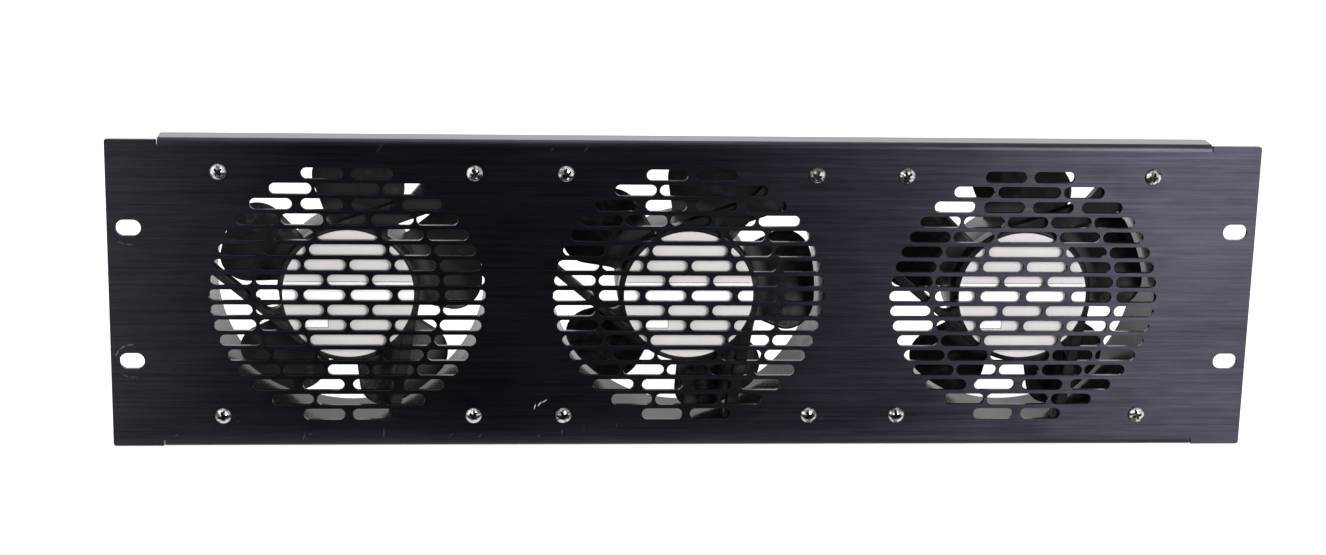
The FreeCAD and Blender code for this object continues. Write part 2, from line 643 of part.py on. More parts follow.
def outer_races():
    """The standing half of each ball bearing: its outer race and two shields."""
    inner_edge = SHAFT_RADIUS + RACE_WALL + SHIELD_GAP
    bore = BEARING_RADIUS - RACE_WALL
    races = []
    for front in bearing_places():
        rear = front + BEARING_WIDTH
        races.append(turned([
            (BEARING_RADIUS, front), (BEARING_RADIUS, rear), (inner_edge, rear),
            (inner_edge, rear - SHIELD_THICKNESS), (bore, rear - SHIELD_THICKNESS),
            (bore, front + SHIELD_THICKNESS), (inner_edge, front + SHIELD_THICKNESS), (inner_edge, front)]))
    return races


def terminal_block():
    outer = -FAN_SQUARE / 2 + BLOCK_INSET
    body = block(outer, outer / 2, BLOCK_FRONT, BLOCK_REAR, BLOCK_BOTTOM, BLOCK_BOTTOM + BLOCK_HEIGHT)
    return body.cut([disc(BARREL_RADIUS, 0, FAN_DEPTH)] + barrel_roots())


def terminal_tabs():
    """Two flat push-on tabs standing up out of the block."""
    tabs = []
    middle = -FAN_SQUARE / 2 + TAB_INSET
    foot = BLOCK_BOTTOM + BLOCK_HEIGHT
    top = foot + TAB_LENGTH
    for depth in (BLOCK_REAR - TAB_REAR - TAB_SPACING, BLOCK_REAR - TAB_REAR):
        tab = block(middle - TAB_THICKNESS / 2, middle + TAB_THICKNESS / 2, depth - TAB_WIDTH / 2,
                    depth + TAB_WIDTH / 2, foot, top)

        def tip(edge):
            box = edge.BoundBox
            return box.YLength < 1e-6 and box.ZLength < 1e-6 and abs(box.ZMax - top) < 1e-6

        tab = tab.makeChamfer(TAB_WIDTH / 4, edges_where(tab, tip))
        hole = Part.makeCylinder(TAB_HOLE_RADIUS, 2, at(middle - 1, depth, top - TAB_LENGTH / 2), Vector(1, 0, 0))
        tabs.append(tab.cut(hole))
    return tabs


# ---------------------------------------------------------------------------------------------- rotor
def shaft():
    front = PLATE_REAR + SHAFT_CLEARANCE
    return turned([(0, front), (SHAFT_RADIUS, front), (SHAFT_RADIUS, CLIP_FRONT),
                   (GROOVE_RADIUS, CLIP_FRONT), (GROOVE_RADIUS, CLIP_REAR), (SHAFT_RADIUS, CLIP_REAR),
                   (SHAFT_RADIUS, CUP_REAR), (0, CUP_REAR)])


def shaft_clip():
    """An open retaining ring in the shaft's groove."""
    outer = SHAFT_RADIUS + CLIP_WIDTH
    clip = ring(outer, GROOVE_RADIUS, CLIP_FRONT, CLIP_REAR)
    return clip.cut(block(0, outer + 1, CLIP_FRONT - 1, CLIP_REAR + 1, -GROOVE_RADIUS, GROOVE_RADIUS))


def preload_washer():
    outer = SHAFT_RADIUS + RACE_WALL + SHIELD_GAP - SPRING_CLEARANCE
    return ring(outer, SHAFT_RADIUS, CLIP_REAR, FRONT_BEARING_DEPTH)


def inner_races():
    return [ring(SHAFT_RADIUS + RACE_WALL, SHAFT_RADIUS, front, front + BEARING_WIDTH)
            for front in bearing_places()]


def rotor_cup():
    """Deep-drawn steel cup with a turned-in boss that grips the shaft."""
    plate_front = CUP_REAR - CUP_WALL
    boss_front = CUP_REAR - CUP_BOSS_LENGTH
    cup = turned([(SHAFT_RADIUS, boss_front), (CUP_BOSS_RADIUS, boss_front), (CUP_BOSS_RADIUS, plate_front),
                  (CUP_INNER, plate_front), (CUP_INNER, CUP_FRONT), (CUP_RADIUS, CUP_FRONT),
                  (CUP_RADIUS, CUP_REAR), (SHAFT_RADIUS, CUP_REAR)])

    def rear_rim(edge):
        box = edge.BoundBox
        return box.YLength < 1e-6 and abs(box.YMax - CUP_REAR) < 1e-6 and box.XLength > 2 * CUP_INNER

    return cup.makeFillet(CUP_WALL * 0.8, edges_where(cup, rear_rim))


def rotor_cage():
    return ring(CUP_INNER, CAGE_INNER, CORE_FRONT - CAGE_OVERHANG, CORE_REAR + CAGE_OVERHANG)


def blade_section(radial):
    """A closed curve across the blade at one distance from the axis, in the plane square to that distance."""
    share = (radial - IMPELLER_RADIUS) / (BLADE_TIP - IMPELLER_RADIUS)
    thick = BLADE_THICK_ROOT + (BLADE_THICK_TIP - BLADE_THICK_ROOT) * share
    half_turn = math.radians(BLADE_SPAN / 2 + BLADE_SPARE)
    upper, lower = [], []
    count = 7
    for i in range(count):
        s = i / (count - 1)
        turn = half_turn * (2 * s - 1)
        across = radial * math.tan(turn)
        bow = BLADE_CAMBER * 4 * s * (1 - s)
        depth = BLADE_MIDDLE + BLADE_PITCH * turn + bow
        lean = math.atan(BLADE_PITCH * math.cos(turn) ** 2 / radial)
        upper.append((across - math.sin(lean) * thick / 2, depth + math.cos(lean) * thick / 2))
        lower.append((across + math.sin(lean) * thick / 2, depth - math.cos(lean) * thick / 2))

    def curve(points):
        spline = Part.BSplineCurve()
        spline.interpolate([at(radial, depth, across) for across, depth in points])
        return spline.toShape()

    top, bottom = curve(upper), curve(lower)
    first = Part.LineSegment(top.Vertexes[-1].Point, bottom.Vertexes[-1].Point).toShape()
    last = Part.LineSegment(bottom.Vertexes[0].Point, top.Vertexes[0].Point).toShape()
    return Part.Wire([top, first, bottom, last])


def blade_outline():
    """The blade's shape seen along the axis: two radial sides, rounded corners and a round tip."""
    far = 2 * BLADE_TIP
    half_far = far * math.tan(math.radians(BLADE_SPAN / 2))
    plan = prism(outline([(0, 0), (far, -half_far), (far, half_far)]), 0, FAN_DEPTH)
    plan = plan.common(disc(BLADE_TIP, -1, FAN_DEPTH + 1))

    def outer_corner(edge):
        return edge.BoundBox.YLength > FAN_DEPTH - 1 and edge.BoundBox.XMax > IMPELLER_RADIUS

    return plan.makeFillet(BLADE_CORNER, edges_where(plan, outer_corner))


def impeller():
    """Five broad twisted blades on a ring that is moulded over the rotor cup, cut back to clear the hub."""
    first = CUP_RADIUS * math.cos(math.radians(BLADE_SPAN / 2)) - 1
    step = (BLADE_TIP + 1 - first) / 3
    sheet = Part.makeLoft([blade_section(first + i * step) for i in range(4)], True, False)
    blade = sheet.common(blade_outline()).cut([disc(CUP_RADIUS + IMPELLER_WALL / 2, 0, FAN_DEPTH),
                                               disc(HUB_RADIUS + IMPELLER_CLEARANCE, 0, IMPELLER_FRONT)])
    shell = turned([(CUP_RADIUS, IMPELLER_FRONT), (IMPELLER_RADIUS, IMPELLER_FRONT),
                    (IMPELLER_RADIUS, IMPELLER_REAR), (CUP_RADIUS - IMPELLER_LIP_WIDTH, IMPELLER_REAR),
                    (CUP_RADIUS - IMPELLER_LIP_WIDTH, CUP_REAR), (CUP_RADIUS, CUP_REAR)])
    return fused([shell] + [spun(blade, i * 360.0 / BLADE_COUNT) for i in range(BLADE_COUNT)])


# ---------------------------------------------------------------------------------------------- fasteners
def screw_head():
    """A low domed head on the panel's front face: a straight rim under a shallow ball."""
    rim = FRONT - SCREW_HEAD_RIM
    rise = SCREW_HEAD_HEIGHT - SCREW_HEAD_RIM
    ball = (SCREW_HEAD_RADIUS ** 2 + rise ** 2) / (2 * rise)
    dome = Part.makeSphere(ball, at(0, rim - rise + ball, 0))
    return dome.common(disc(SCREW_HEAD_RADIUS, rim - rise - 1, FRONT))


def screw():
    return fused([screw_head(), disc(SCREW_RADIUS, FRONT, FRONT + SCREW_LENGTH)])


def washer():
    return ring(WASHER_RADIUS, SCREW_RADIUS + THREAD_CLEARANCE, FAN_FLANGE, FAN_FLANGE + WASHER_THICKNESS)


def nut():
    front = FAN_FLANGE + WASHER_THICKNESS
    corner = NUT_FLATS / math.sqrt(3)
    points = [(corner * math.cos(math.radians(60 * i)), corner * math.sin(math.radians(60 * i))) for i in range(6)]
    body = prism(outline(points), front, front + NUT_THICKNESS)
    return body.cut(disc(SCREW_RADIUS + THREAD_CLEARANCE, front - 1, front + NUT_THICKNESS + 1))


# ---------------------------------------------------------------------------------------------- assembly
def at_every_fan_corner(piece):
    return [moved(piece, x + dx, 0, dz) for x in FAN_X for dx, dz in corner_places(FAN_HOLE_SPACING)]


def build():
    NODES["front_panel"] = [front_panel()]
    NODES["fan_screws"] = at_every_fan_corner(screw())
    NODES["lock_washers"] = at_every_fan_corner(washer())
    NODES["hex_nuts"] = at_every_fan_corner(nut())
    standing = {
        "frame": [fan_frame()], "label": [label()], "stator_core": [stator_core()], "coils": coils(),
        "shading_rings": shading_rings(), "outer_races": outer_races(), "terminal_block": [terminal_block()],
        "terminal_tabs": terminal_tabs(), "lead": [lead_route(LEAD_RADIUS)],
    }
    turning = {
        "impeller": [impeller()], "rotor_cup": [rotor_cup()], "rotor_cage": [rotor_cage()], "shaft": [shaft()],
        "inner_races": inner_races(), "shaft_clip": [shaft_clip()], "preload_washer": [preload_washer()],
    }
    for number, (x, turn) in enumerate(zip(FAN_X, REST_TURNS), 1):
        for name, solids in standing.items():
            NODES[f"fan_{number}_{name}"] = [moved(s, x) for s in solids]
        for name, solids in turning.items():
            NODES[f"fan_{number}_{name}"] = [moved(spun(s, turn), x) for s in solids]


def export():
    os.makedirs("parts", exist_ok=True)
    for name, solids in NODES.items():
        shape = solids[0] if len(solids) == 1 else Part.makeCompound(solids)
        if not shape.isValid() or len(shape.Solids) != len(solids):
            print("check", name, "valid", shape.isValid(), "solids", len(shape.Solids), "of", len(solids))
        shape.exportStep(f"parts/{name}.step")


build()
export()
print(len(NODES), "nodes,", sum(len(s) for s in NODES.values()), "solids")
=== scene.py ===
# %% [markdown]
# # A rack fan tray
# A black brushed sheet, three units high, closes one bay of a 19 inch rack. Three round grilles are punched
# in it, and a square fan with a cast frame is screwed behind each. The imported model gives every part's size
# and place. This notebook dresses it: it rebuilds the sheet, the screws and the impellers with softer edges
# and gives every part its finish. Lengths are typed in millimetres and turned into Blender's metres by MM.

# %% Load the frame
import json
import math
import random
import bmesh
import bpy
from mathutils import Matrix, Vector


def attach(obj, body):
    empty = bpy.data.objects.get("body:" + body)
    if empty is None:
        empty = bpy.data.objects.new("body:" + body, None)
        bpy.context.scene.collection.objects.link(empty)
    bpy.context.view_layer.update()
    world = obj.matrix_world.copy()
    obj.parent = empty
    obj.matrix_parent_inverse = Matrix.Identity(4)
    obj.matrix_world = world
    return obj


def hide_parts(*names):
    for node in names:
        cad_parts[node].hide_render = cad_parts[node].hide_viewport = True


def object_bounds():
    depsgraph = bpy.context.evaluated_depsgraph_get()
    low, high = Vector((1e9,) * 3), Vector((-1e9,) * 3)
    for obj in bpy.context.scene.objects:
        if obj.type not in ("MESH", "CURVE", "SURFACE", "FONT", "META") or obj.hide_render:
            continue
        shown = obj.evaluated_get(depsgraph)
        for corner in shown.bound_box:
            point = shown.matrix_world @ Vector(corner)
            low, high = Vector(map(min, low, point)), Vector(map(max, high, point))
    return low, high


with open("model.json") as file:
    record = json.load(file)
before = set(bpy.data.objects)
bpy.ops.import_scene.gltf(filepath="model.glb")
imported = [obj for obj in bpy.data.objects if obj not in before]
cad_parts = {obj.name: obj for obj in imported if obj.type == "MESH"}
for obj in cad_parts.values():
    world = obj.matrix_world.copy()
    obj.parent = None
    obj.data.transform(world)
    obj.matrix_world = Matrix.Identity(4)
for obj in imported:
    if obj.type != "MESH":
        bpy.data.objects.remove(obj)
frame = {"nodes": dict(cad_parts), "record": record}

MM = 0.001
CAD_BOX = [list(corner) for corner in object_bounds()]
FAN_X = (-142.875, 0.0, 142.875)
FAN_HOLES = 105.0
CORNERS = ((-1, -1), (-1, 1), (1, -1), (1, 1))

# %% [markdown]
# ## Small helpers
# Shader trees and geometry trees are built the same way: add a node, fill its sockets, link it on. One
# function does all three, and takes either a plain value or another node's socket.


# %% Node helpers
def node(tree, kind, inputs=None, **settings):
    """A new node with its settings made and its sockets filled or linked."""
    made = tree.nodes.new(kind)
    for name, value in settings.items():
        setattr(made, name, value)
    for name, value in (inputs or {}).items():
        socket = made.inputs[name]
        for item in value if isinstance(value, list) else [value]:
            if isinstance(item, bpy.types.NodeSocket):
                tree.links.new(item, socket)
            else:
                socket.default_value = item
    return made


def math_node(tree, operation, *values):
    return node(tree, "ShaderNodeMath", dict(enumerate(values)), operation=operation).outputs[0]


def times(tree, *values):
    return math_node(tree, "MULTIPLY", *values)


def plus(tree, *values):
    return math_node(tree, "ADD", *values)


def vector_math(tree, operation, *values):
    made = node(tree, "ShaderNodeVectorMath", dict(enumerate(values)), operation=operation)
    return made.outputs["Value" if operation == "LENGTH" else "Vector"]


def object_place(tree):
    return node(tree, "ShaderNodeTexCoord").outputs["Object"]


def axes(tree, vector):
    """The X, Y and Z of a vector, by name."""
    return node(tree, "ShaderNodeSeparateXYZ", {"Vector": vector}).outputs


def add_socket(tree, label, kind, way="INPUT"):
    tree.interface.new_socket(label, in_out=way, socket_type="NodeSocket" + kind)


def combined(tree, **parts):
    return node(tree, "ShaderNodeCombineXYZ", parts).outputs[0]


def smooth_step(tree, value, start, end):
    """0 below start, 1 above end, and a soft slope between."""
    inputs = {"Value": value, "From Min": start, "From Max": end}
    return node(tree, "ShaderNodeMapRange", inputs, interpolation_type="SMOOTHSTEP").outputs["Result"]


def spread(tree, value, low, high):
    """A 0 to 1 value stretched to another range."""
    return node(tree, "ShaderNodeMapRange", {"Value": value, "To Min": low, "To Max": high}).outputs["Result"]


# %% Mesh helpers
def new_object(name, data):
    """A new object in the scene: a mesh, a lamp or a camera, as its data is."""
    made = bpy.data.objects.new(name, data)
    bpy.context.scene.collection.objects.link(made)
    return made


def mesh_object(name, points, faces, edges=()):
    """A mesh object from points in millimetres."""
    mesh = bpy.data.meshes.new(name)
    mesh.from_pydata([tuple(c * MM for c in p) for p in points], edges, faces)
    return new_object(name, mesh)


def tidy_mesh(mesh, weld=0.004, crease=32.0):
    """Weld doubles, turn the faces outwards and shade smooth up to a crease angle."""
    work = bmesh.new()
    work.from_mesh(mesh)
    bmesh.ops.remove_doubles(work, verts=work.verts, dist=weld * MM)
    bmesh.ops.recalc_face_normals(work, faces=work.faces)
    open_edges = sum(1 for e in work.edges if len(e.link_faces) != 2)
    work.to_mesh(mesh)
    work.free()
    mesh.shade_smooth()
    mesh.set_sharp_from_angle(angle=math.radians(crease))
    return open_edges


def applied(made, name=None):
    """The object with its modifiers made into plain geometry."""
    bpy.context.view_layer.update()
    evaluated = made.evaluated_get(bpy.context.evaluated_depsgraph_get())
    mesh = bpy.data.meshes.new_from_object(evaluated)
    made.modifiers.clear()
    made.data = mesh
    if name:
        made.name = mesh.name = name
    return made


def polar(radius, angle, depth):
    """The point at a distance and an angle round the Y axis."""
    return radius * math.cos(angle), depth, radius * math.sin(angle)


def revolve(profile, segments):
    """Points and faces of a closed profile of (radius, depth) turned about the Y axis."""
    points, faces = [], []
    count = len(profile)
    for i in range(segments):
        j = (i + 1) % segments
        points += [polar(radius, 2 * math.pi * i / segments, depth) for radius, depth in profile]
        for k in range(count):
            n = (k + 1) % count
            faces.append((i * count + k, i * count + n, j * count + n, j * count + k))
    return points, faces


def boolean(target, tool, operation):
    change = target.modifiers.new("cut", "BOOLEAN")
    change.object, change.operation, change.solver = tool, operation, "EXACT"
    applied(target)
    bpy.data.objects.remove(tool)
    return target


# %% Geometry Nodes helpers
def geometry_tree(name, **inputs):
    """An empty geometry tree with a geometry input and output, and named inputs for sizes and pieces."""
    tree = bpy.data.node_groups.new(name, "GeometryNodeTree")
    add_socket(tree, "Geometry", "Geometry")
    add_socket(tree, "Geometry", "Geometry", "OUTPUT")
    for label, value in inputs.items():
        add_socket(tree, label, {float: "Float", int: "Int"}.get(type(value), "Object"))
    return tree, node(tree, "NodeGroupInput").outputs, node(tree, "NodeGroupOutput").inputs[0]


def run_tree(target, tree, inputs, name):
    """Put the tree on an object, set its inputs by identifier, and make the result plain."""
    change = target.modifiers.new(name, "NODES")
    change.node_group = tree
    for item in tree.interface.items_tree:
        if item.in_out == "INPUT" and item.name in inputs:
            change[item.identifier] = inputs[item.name]
    return applied(target, name)


def shape(tree, kind, inputs=None, **settings):
    """The first output of a new geometry node."""
    return node(tree, "GeometryNode" + kind, inputs, **settings).outputs[0]


def copies(tree, points, piece, turn):
    """The piece put on every point and turned about the Y axis."""
    found = node(tree, "GeometryNodeObjectInfo", {"Object": piece}).outputs["Geometry"]
    return shape(tree, "InstanceOnPoints",
                 {"Points": points, "Instance": found, "Rotation": combined(tree, Y=turn)})


def deliver(tree, geometry, finish, result):
    """Make the copies plain geometry, give it its finish and hand it to the tree's output."""
    real = shape(tree, "RealizeInstances", {"Geometry": geometry})
    tree.links.new(shape(tree, "SetMaterial", {"Geometry": real, "Material": finish}), result)


# %% Helpers for finishes
def cleared_tree(owner):
    """The node tree of a material or a world, with nothing in it."""
    owner.use_nodes = True
    owner.node_tree.nodes.clear()
    return owner.node_tree


def new_material(name, values):
    """A material with one principled shader, and its constant sockets set."""
    made = bpy.data.materials.new(name)
    tree = cleared_tree(made)
    shader = node(tree, "ShaderNodeBsdfPrincipled", values)
    node(tree, "ShaderNodeOutputMaterial", {"Surface": shader.outputs["BSDF"]})
    return made, tree, shader


def object_point(tree, stretch=(1.0, 1.0, 1.0)):
    return node(tree, "ShaderNodeMapping", {"Vector": object_place(tree), "Scale": stretch}).outputs["Vector"]


def noise(tree, scale, detail=3.0, roughness=0.5, stretch=(1.0, 1.0, 1.0)):
    """Noise that rides on the object. A larger stretch along an axis makes it finer that way."""
    inputs = {"Vector": object_point(tree, stretch), "Scale": scale, "Detail": detail, "Roughness": roughness}
    return node(tree, "ShaderNodeTexNoise", inputs).outputs["Fac"]


def mix_colour(tree, amount, first, second):
    return node(tree, "ShaderNodeMix", {"Factor": amount, 6: first, 7: second}, data_type="RGBA").outputs[2]


def paint(tree, shader, colour, rough):
    """Link a colour and a roughness that vary over the surface."""
    tree.links.new(colour, shader.inputs["Base Color"])
    tree.links.new(rough, shader.inputs["Roughness"])


def bump(tree, shader, height, depth_mm, strength):
    made = node(tree, "ShaderNodeBump", {"Height": height, "Distance": depth_mm * MM, "Strength": strength})
    tree.links.new(made.outputs["Normal"], shader.inputs["Normal"])


def grey(level, tint=(1.0, 1.0, 1.0)):
    return tuple(level * t for t in tint) + (1.0,)


# %% [markdown]
# ## Finish: brushed and black anodised alloy
# The sheet is brushed along its length before it is dyed. A brushed surface is rougher across its scratches
# than along them, so a lamp draws out into a tall streak. An anisotropic metal with its tangent across the
# brushing gives that, and long thin noise breaks the tone up into hairlines. Small nicks show the bare alloy
# under the dye.

# %% Where the marks are, and a group that draws one short bright stroke
NICK_COUNT, NICK_SEED = 15, 11
NICKS_ACROSS = (-228.0, -10.0)  # how far to the left and right nicks lie, in mm
NICKS_TOP, NICKS_BOTTOM = 62.8, -62.0
SCRAPE = (-62.5, -47.5)  # the one deep scrape, low between the first two fans, in mm
RUB_RADIUS, RUB_STEP = 7.0, 28.0  # where rack screws' washers have rubbed round a slot, in mm and degrees
RACK_SLOT = (232.55, 28.575, 10.3, 6.8)  # a slot's middle, across and up, its length and its width, in mm


def panel_marks():
    """Every mark as (x, z, angle, half length, half width, bareness) in mm and degrees, by a fixed seed."""
    marks = [(SCRAPE[0] + 2 * k, SCRAPE[1] + 1.2 * k, 55 - 20 * k, 1.6, 0.4 - 0.1 * abs(k), 0.85)
             for k in (-1, 0, 1)]
    chance = random.Random(NICK_SEED)
    for i in range(NICK_COUNT):
        x = chance.uniform(*NICKS_ACROSS)
        z = NICKS_TOP if i % 5 == 0 else NICKS_BOTTOM + 22.0 * chance.random() ** 2
        angle, half_length = chance.uniform(0.0, 90.0), chance.uniform(0.7, 2.8)
        marks.append((x, z, angle, half_length, chance.uniform(0.2, 0.5), chance.uniform(0.04, 0.14)))
    rack_x, rack_z = RACK_SLOT[:2]
    for z, first, count, bareness in ((-rack_z, 95.0, 3, 0.18), (-rack_z, 245.0, 2, 0.08),
                                      (rack_z, 245.0, 2, 0.08)):
        for turn in (math.radians(first + RUB_STEP * i) for i in range(count)):
            x, up = -rack_x + RUB_RADIUS * math.cos(turn), z + RUB_RADIUS * math.sin(turn)
            marks.append((x, up, math.degrees(turn) + 90.0, 1.8, 0.35, bareness))
    return marks


def nick_group():
    tree = bpy.data.node_groups.new("nick stroke", "ShaderNodeTree")
    add_socket(tree, "Vector", "Vector")
    for label in ("Angle", "Half length", "Half width", "Bareness"):
        add_socket(tree, label, "Float")
    add_socket(tree, "Mask", "Float", "OUTPUT")
    given = node(tree, "NodeGroupInput").outputs
    turned = node(tree, "ShaderNodeVectorRotate", {"Vector": given["Vector"], "Angle": given["Angle"]},
                  rotation_type="Y_AXIS").outputs["Vector"]
    parts = axes(tree, turned)
    along = math_node(tree, "DIVIDE", math_node(tree, "ABSOLUTE", parts["X"]), given["Half length"])
    across = math_node(tree, "DIVIDE", math_node(tree, "ABSOLUTE", parts["Z"]), given["Half width"])
    taper = plus(tree, times(tree, along, along), across)
    fade = {"Value": taper, "From Min": 1.0, "From Max": 0.5, "To Max": given["Bareness"]}
    node(tree, "NodeGroupOutput", {"Mask": node(tree, "ShaderNodeMapRange", fade).outputs["Result"]})
    return tree


# %% The anodised sheet
def anodised_finish():
    made, tree, shader = new_material("brushed_black_anodise", {
        "Metallic": 1.0, "Anisotropic": 0.85, "Coat Weight": 0.5, "Coat IOR": 1.2, "Coat Roughness": 0.2})
    hairline = noise(tree, 1.0, 4.0, 0.65, (22.0, 760.0, 1250.0))
    cloud = noise(tree, 24.0, 3.0, 0.6, (0.6, 1.0, 1.0))
    mottle = noise(tree, 150.0, 3.0, 0.6, (0.5, 1.0, 1.4))
    place, group = object_place(tree), nick_group()
    speckle = smooth_step(tree, noise(tree, 1.0, 2.0, stretch=(700.0, 700.0, 1500.0)), 0.80, 0.84)
    marks = times(tree, speckle, 0.08)
    for x, z, angle, half_length, half_width, bareness in panel_marks():
        stroke = node(tree, "ShaderNodeGroup", {
            "Vector": vector_math(tree, "SUBTRACT", place, (x * MM, 0.0, z * MM)),
            "Angle": math.radians(angle), "Half length": half_length * MM, "Half width": half_width * MM,
            "Bareness": bareness}, node_tree=group)
        marks = math_node(tree, "MAXIMUM", marks, stroke.outputs[0])
    tone = plus(tree, times(tree, cloud, 0.3), times(tree, mottle, 0.15))
    tone = plus(tree, tone, times(tree, hairline, 0.55))
    dyed = mix_colour(tree, spread(tree, tone, -1.5, 2.5),
                      (0.0110, 0.0106, 0.0148, 1), (0.0250, 0.0242, 0.0325, 1))
    rough = plus(tree, spread(tree, hairline, 0.29, 0.36), times(tree, cloud, 0.08))
    paint(tree, shader, mix_colour(tree, marks, dyed, (0.42, 0.42, 0.43, 1)), rough)
    tree.links.new(math_node(tree, "SUBTRACT", 1.0, marks), shader.inputs["Metallic"])
    facing = node(tree, "ShaderNodeNewGeometry").outputs["Normal"]
    tree.links.new(vector_math(tree, "CROSS_PRODUCT", facing, (1.0, 0.0, 0.0)), shader.inputs["Tangent"])
    bump(tree, shader, math_node(tree, "SUBTRACT", hairline, times(tree, marks, 2.0)), 0.012, 0.5)
    return made


ANODISED = anodised_finish()

# %% [markdown]
# ## Finishes of the fans
# The casting is painted semi-gloss black over a slightly grainy skin, with patches of dust. On the fan on the
# left a lighter film covers it, inside the duct too: partly dust, partly painted reflection.
# The impellers are moulded, smooth with a soft sheen. The label is a plain satin foil. The motor's parts
# hardly show, but each still gets the surface it is made with: stacked laminations, enamelled wire, ground
# steel, tinned brass. Images could give all this, but noise on the object's own coordinates needs none, and
# stays put when a rotor turns.


# %% Where the fans are
HALF_PITCH = FAN_X[2] / 2 * MM
DUST_AND_SHEEN_FROM, DUST_AND_SHEEN_FULL = -0.06, -0.08  # X between the left fan and the next, in metres: the left fan's dust and painted sheen fade out here


def place_on_fan(tree):
    """X and Z from the axis of the nearest fan."""
    parts = axes(tree, object_place(tree))
    return math_node(tree, "WRAP", parts["X"], HALF_PITCH, -HALF_PITCH), parts["Z"]


def left_fan(tree):
    """1 on the fan on the left, 0 on the other two: there more dust, and a film of dust and painted sheen."""
    return smooth_step(tree, axes(tree, object_place(tree))["X"], DUST_AND_SHEEN_FROM, DUST_AND_SHEEN_FULL)


# %% Painted casting
def casting_finish():
    made, tree, shader = new_material("semi_gloss_casting_paint", {"Specular IOR Level": 0.05})
    grain = noise(tree, 1600.0, 3.0, 0.6)
    dust_and_painted_light = smooth_step(tree, noise(tree, 60.0, 5.0, 0.62), 0.46, 0.78)
    # On the fan on the left a lighter film: partly dust, partly painted reflection on the duct's walls.
    dust_and_painted_light = math_node(tree, "MAXIMUM", dust_and_painted_light, times(tree, left_fan(tree), 0.4))
    colour = mix_colour(tree, times(tree, dust_and_painted_light, 0.4), grey(0.007, (1, 1, 1.12)), grey(0.060, (1.1, 1, 0.96)))
    paint(tree, shader, colour, plus(tree, spread(tree, grain, 0.16, 0.28), times(tree, dust_and_painted_light, 0.12)))
    bump(tree, shader, plus(tree, grain, times(tree, noise(tree, 120.0, 2.0), 1.5)), 0.02, 0.4)
    return made


# %% Moulded plastics
def moulded_finish(name, level, tint, low, high, grain_scale=2200.0, dust_and_light=0.0, shine=0.4):
    """The argument after grain_scale sets how much lighter it gets: dust in patches, a zone round the hub
    that is dust and painted light from above, and on the fan on the left a film of dust and painted sheen.
    """
    made, tree, shader = new_material(name, {"Specular IOR Level": shine})
    cloud, mottle = noise(tree, 45.0, 4.0, 0.6), noise(tree, 260.0, 5.0, 0.65)
    patches = times(tree, smooth_step(tree, cloud, 0.42, 0.72), smooth_step(tree, mottle, 0.36, 0.68))
    left = left_fan(tree)
    patches = times(tree, patches, spread(tree, left, 0.35 * dust_and_light, dust_and_light))
    x, z = place_on_fan(tree)
    radius = vector_math(tree, "LENGTH", combined(tree, X=x, Y=z))
    # Painted light: all round the hub it is lighter, for dust and for light from above.
    hub_dust_and_light = times(tree, smooth_step(tree, radius, 37.0 * MM, 32.0 * MM), 0.6 * dust_and_light)
    # On the fan on the left a lighter film: partly dust, partly painted sheen on the blades.
    dust_film_and_sheen = times(tree, left, 0.22 * dust_and_light)
    dust_and_painted_light = math_node(tree, "MAXIMUM", patches, math_node(tree, "MAXIMUM", dust_film_and_sheen, hub_dust_and_light))
    paint(tree, shader, mix_colour(tree, dust_and_painted_light, grey(level, tint), grey(0.16, (1.02, 1.0, 1.0))),
          plus(tree, spread(tree, cloud, low, high), times(tree, dust_and_painted_light, 0.3)))
    bump(tree, shader, noise(tree, grain_scale, 2.0), 0.012, 0.4)
    return made


# %% Plain metals
def metal_finish(name, level, tint, low, high, stretch=(1.0, 1.0, 1.0), scale=900.0, stain=0.35, grime=None,
                 patch=160.0):
    """A metal whose tone and gloss vary, with the marks of how it was made drawn out along one direction.
    Where the mesh has an attribute of painted shade, the argument after stain gives its name: there the
    colour goes nearly black and the gloss drops."""
    made, tree, shader = new_material(name, {"Metallic": 1.0})
    marks = noise(tree, scale, 3.0, 0.6, stretch)
    cloud = noise(tree, patch, 3.0, 0.6)
    shade = times(tree, smooth_step(tree, cloud, 0.45, 0.6 if grime else 0.75), stain)
    colour = mix_colour(tree, shade, grey(level, tint), grey(level * (0.06 if grime else 0.55), tint))
    if grime:
        # Painted shade: the attribute darkens the colour almost to black in the screw's recess and round the
        # head's rim.
        stored = node(tree, "ShaderNodeAttribute", attribute_name=grime).outputs["Fac"]
        painted_darkening = smooth_step(tree, stored, 0.02, 0.6)
        colour = mix_colour(tree, times(tree, painted_darkening, 0.96), colour, grey(0.012))
        shade = plus(tree, shade, painted_darkening)
    paint(tree, shader, colour, plus(tree, spread(tree, marks, low, high), times(tree, shade, 0.2)))
    bump(tree, shader, marks, 0.01, 0.35)
    return made


# %% Laminations and windings: stripes along one axis
def striped_finish(name, pitch_mm, axis, colours, metallic, rough, depth_mm):
    made, tree, shader = new_material(name, {"Metallic": metallic, "Roughness": rough})
    wave = node(tree, "ShaderNodeTexWave",
                {"Vector": object_point(tree), "Scale": 1.0 / (pitch_mm * MM) / 20.0, "Distortion": 0.3,
                 "Detail": 1.0},
                bands_direction=axis, wave_profile="SIN").outputs["Fac"]
    tree.links.new(mix_colour(tree, wave, *colours), shader.inputs["Base Color"])
    bump(tree, shader, wave, depth_mm, 0.6)
    return made


# %% The label: plain satin foil with an empty printed form
LABEL_RULE = (5.35, 26.0, 0.10)  # the height of the printed rule, its half width and half thickness, in mm
LABEL_BAND = (-3.9, 4.9)  # the white band under it, from one height to the other
LABEL_BOX = (-13.2, -12.6, 4.6, 1.9)  # an empty box: its middle, across and up, and its half sizes
LABEL_LINE = 0.32  # the width of the line round the box


def between(tree, value, low, high, soft=0.08):
    """1 where value lies from low to high, in mm, with soft edges."""
    above = smooth_step(tree, value, (low - soft) * MM, (low + soft) * MM)
    return times(tree, above, smooth_step(tree, value, (high + soft) * MM, (high - soft) * MM))


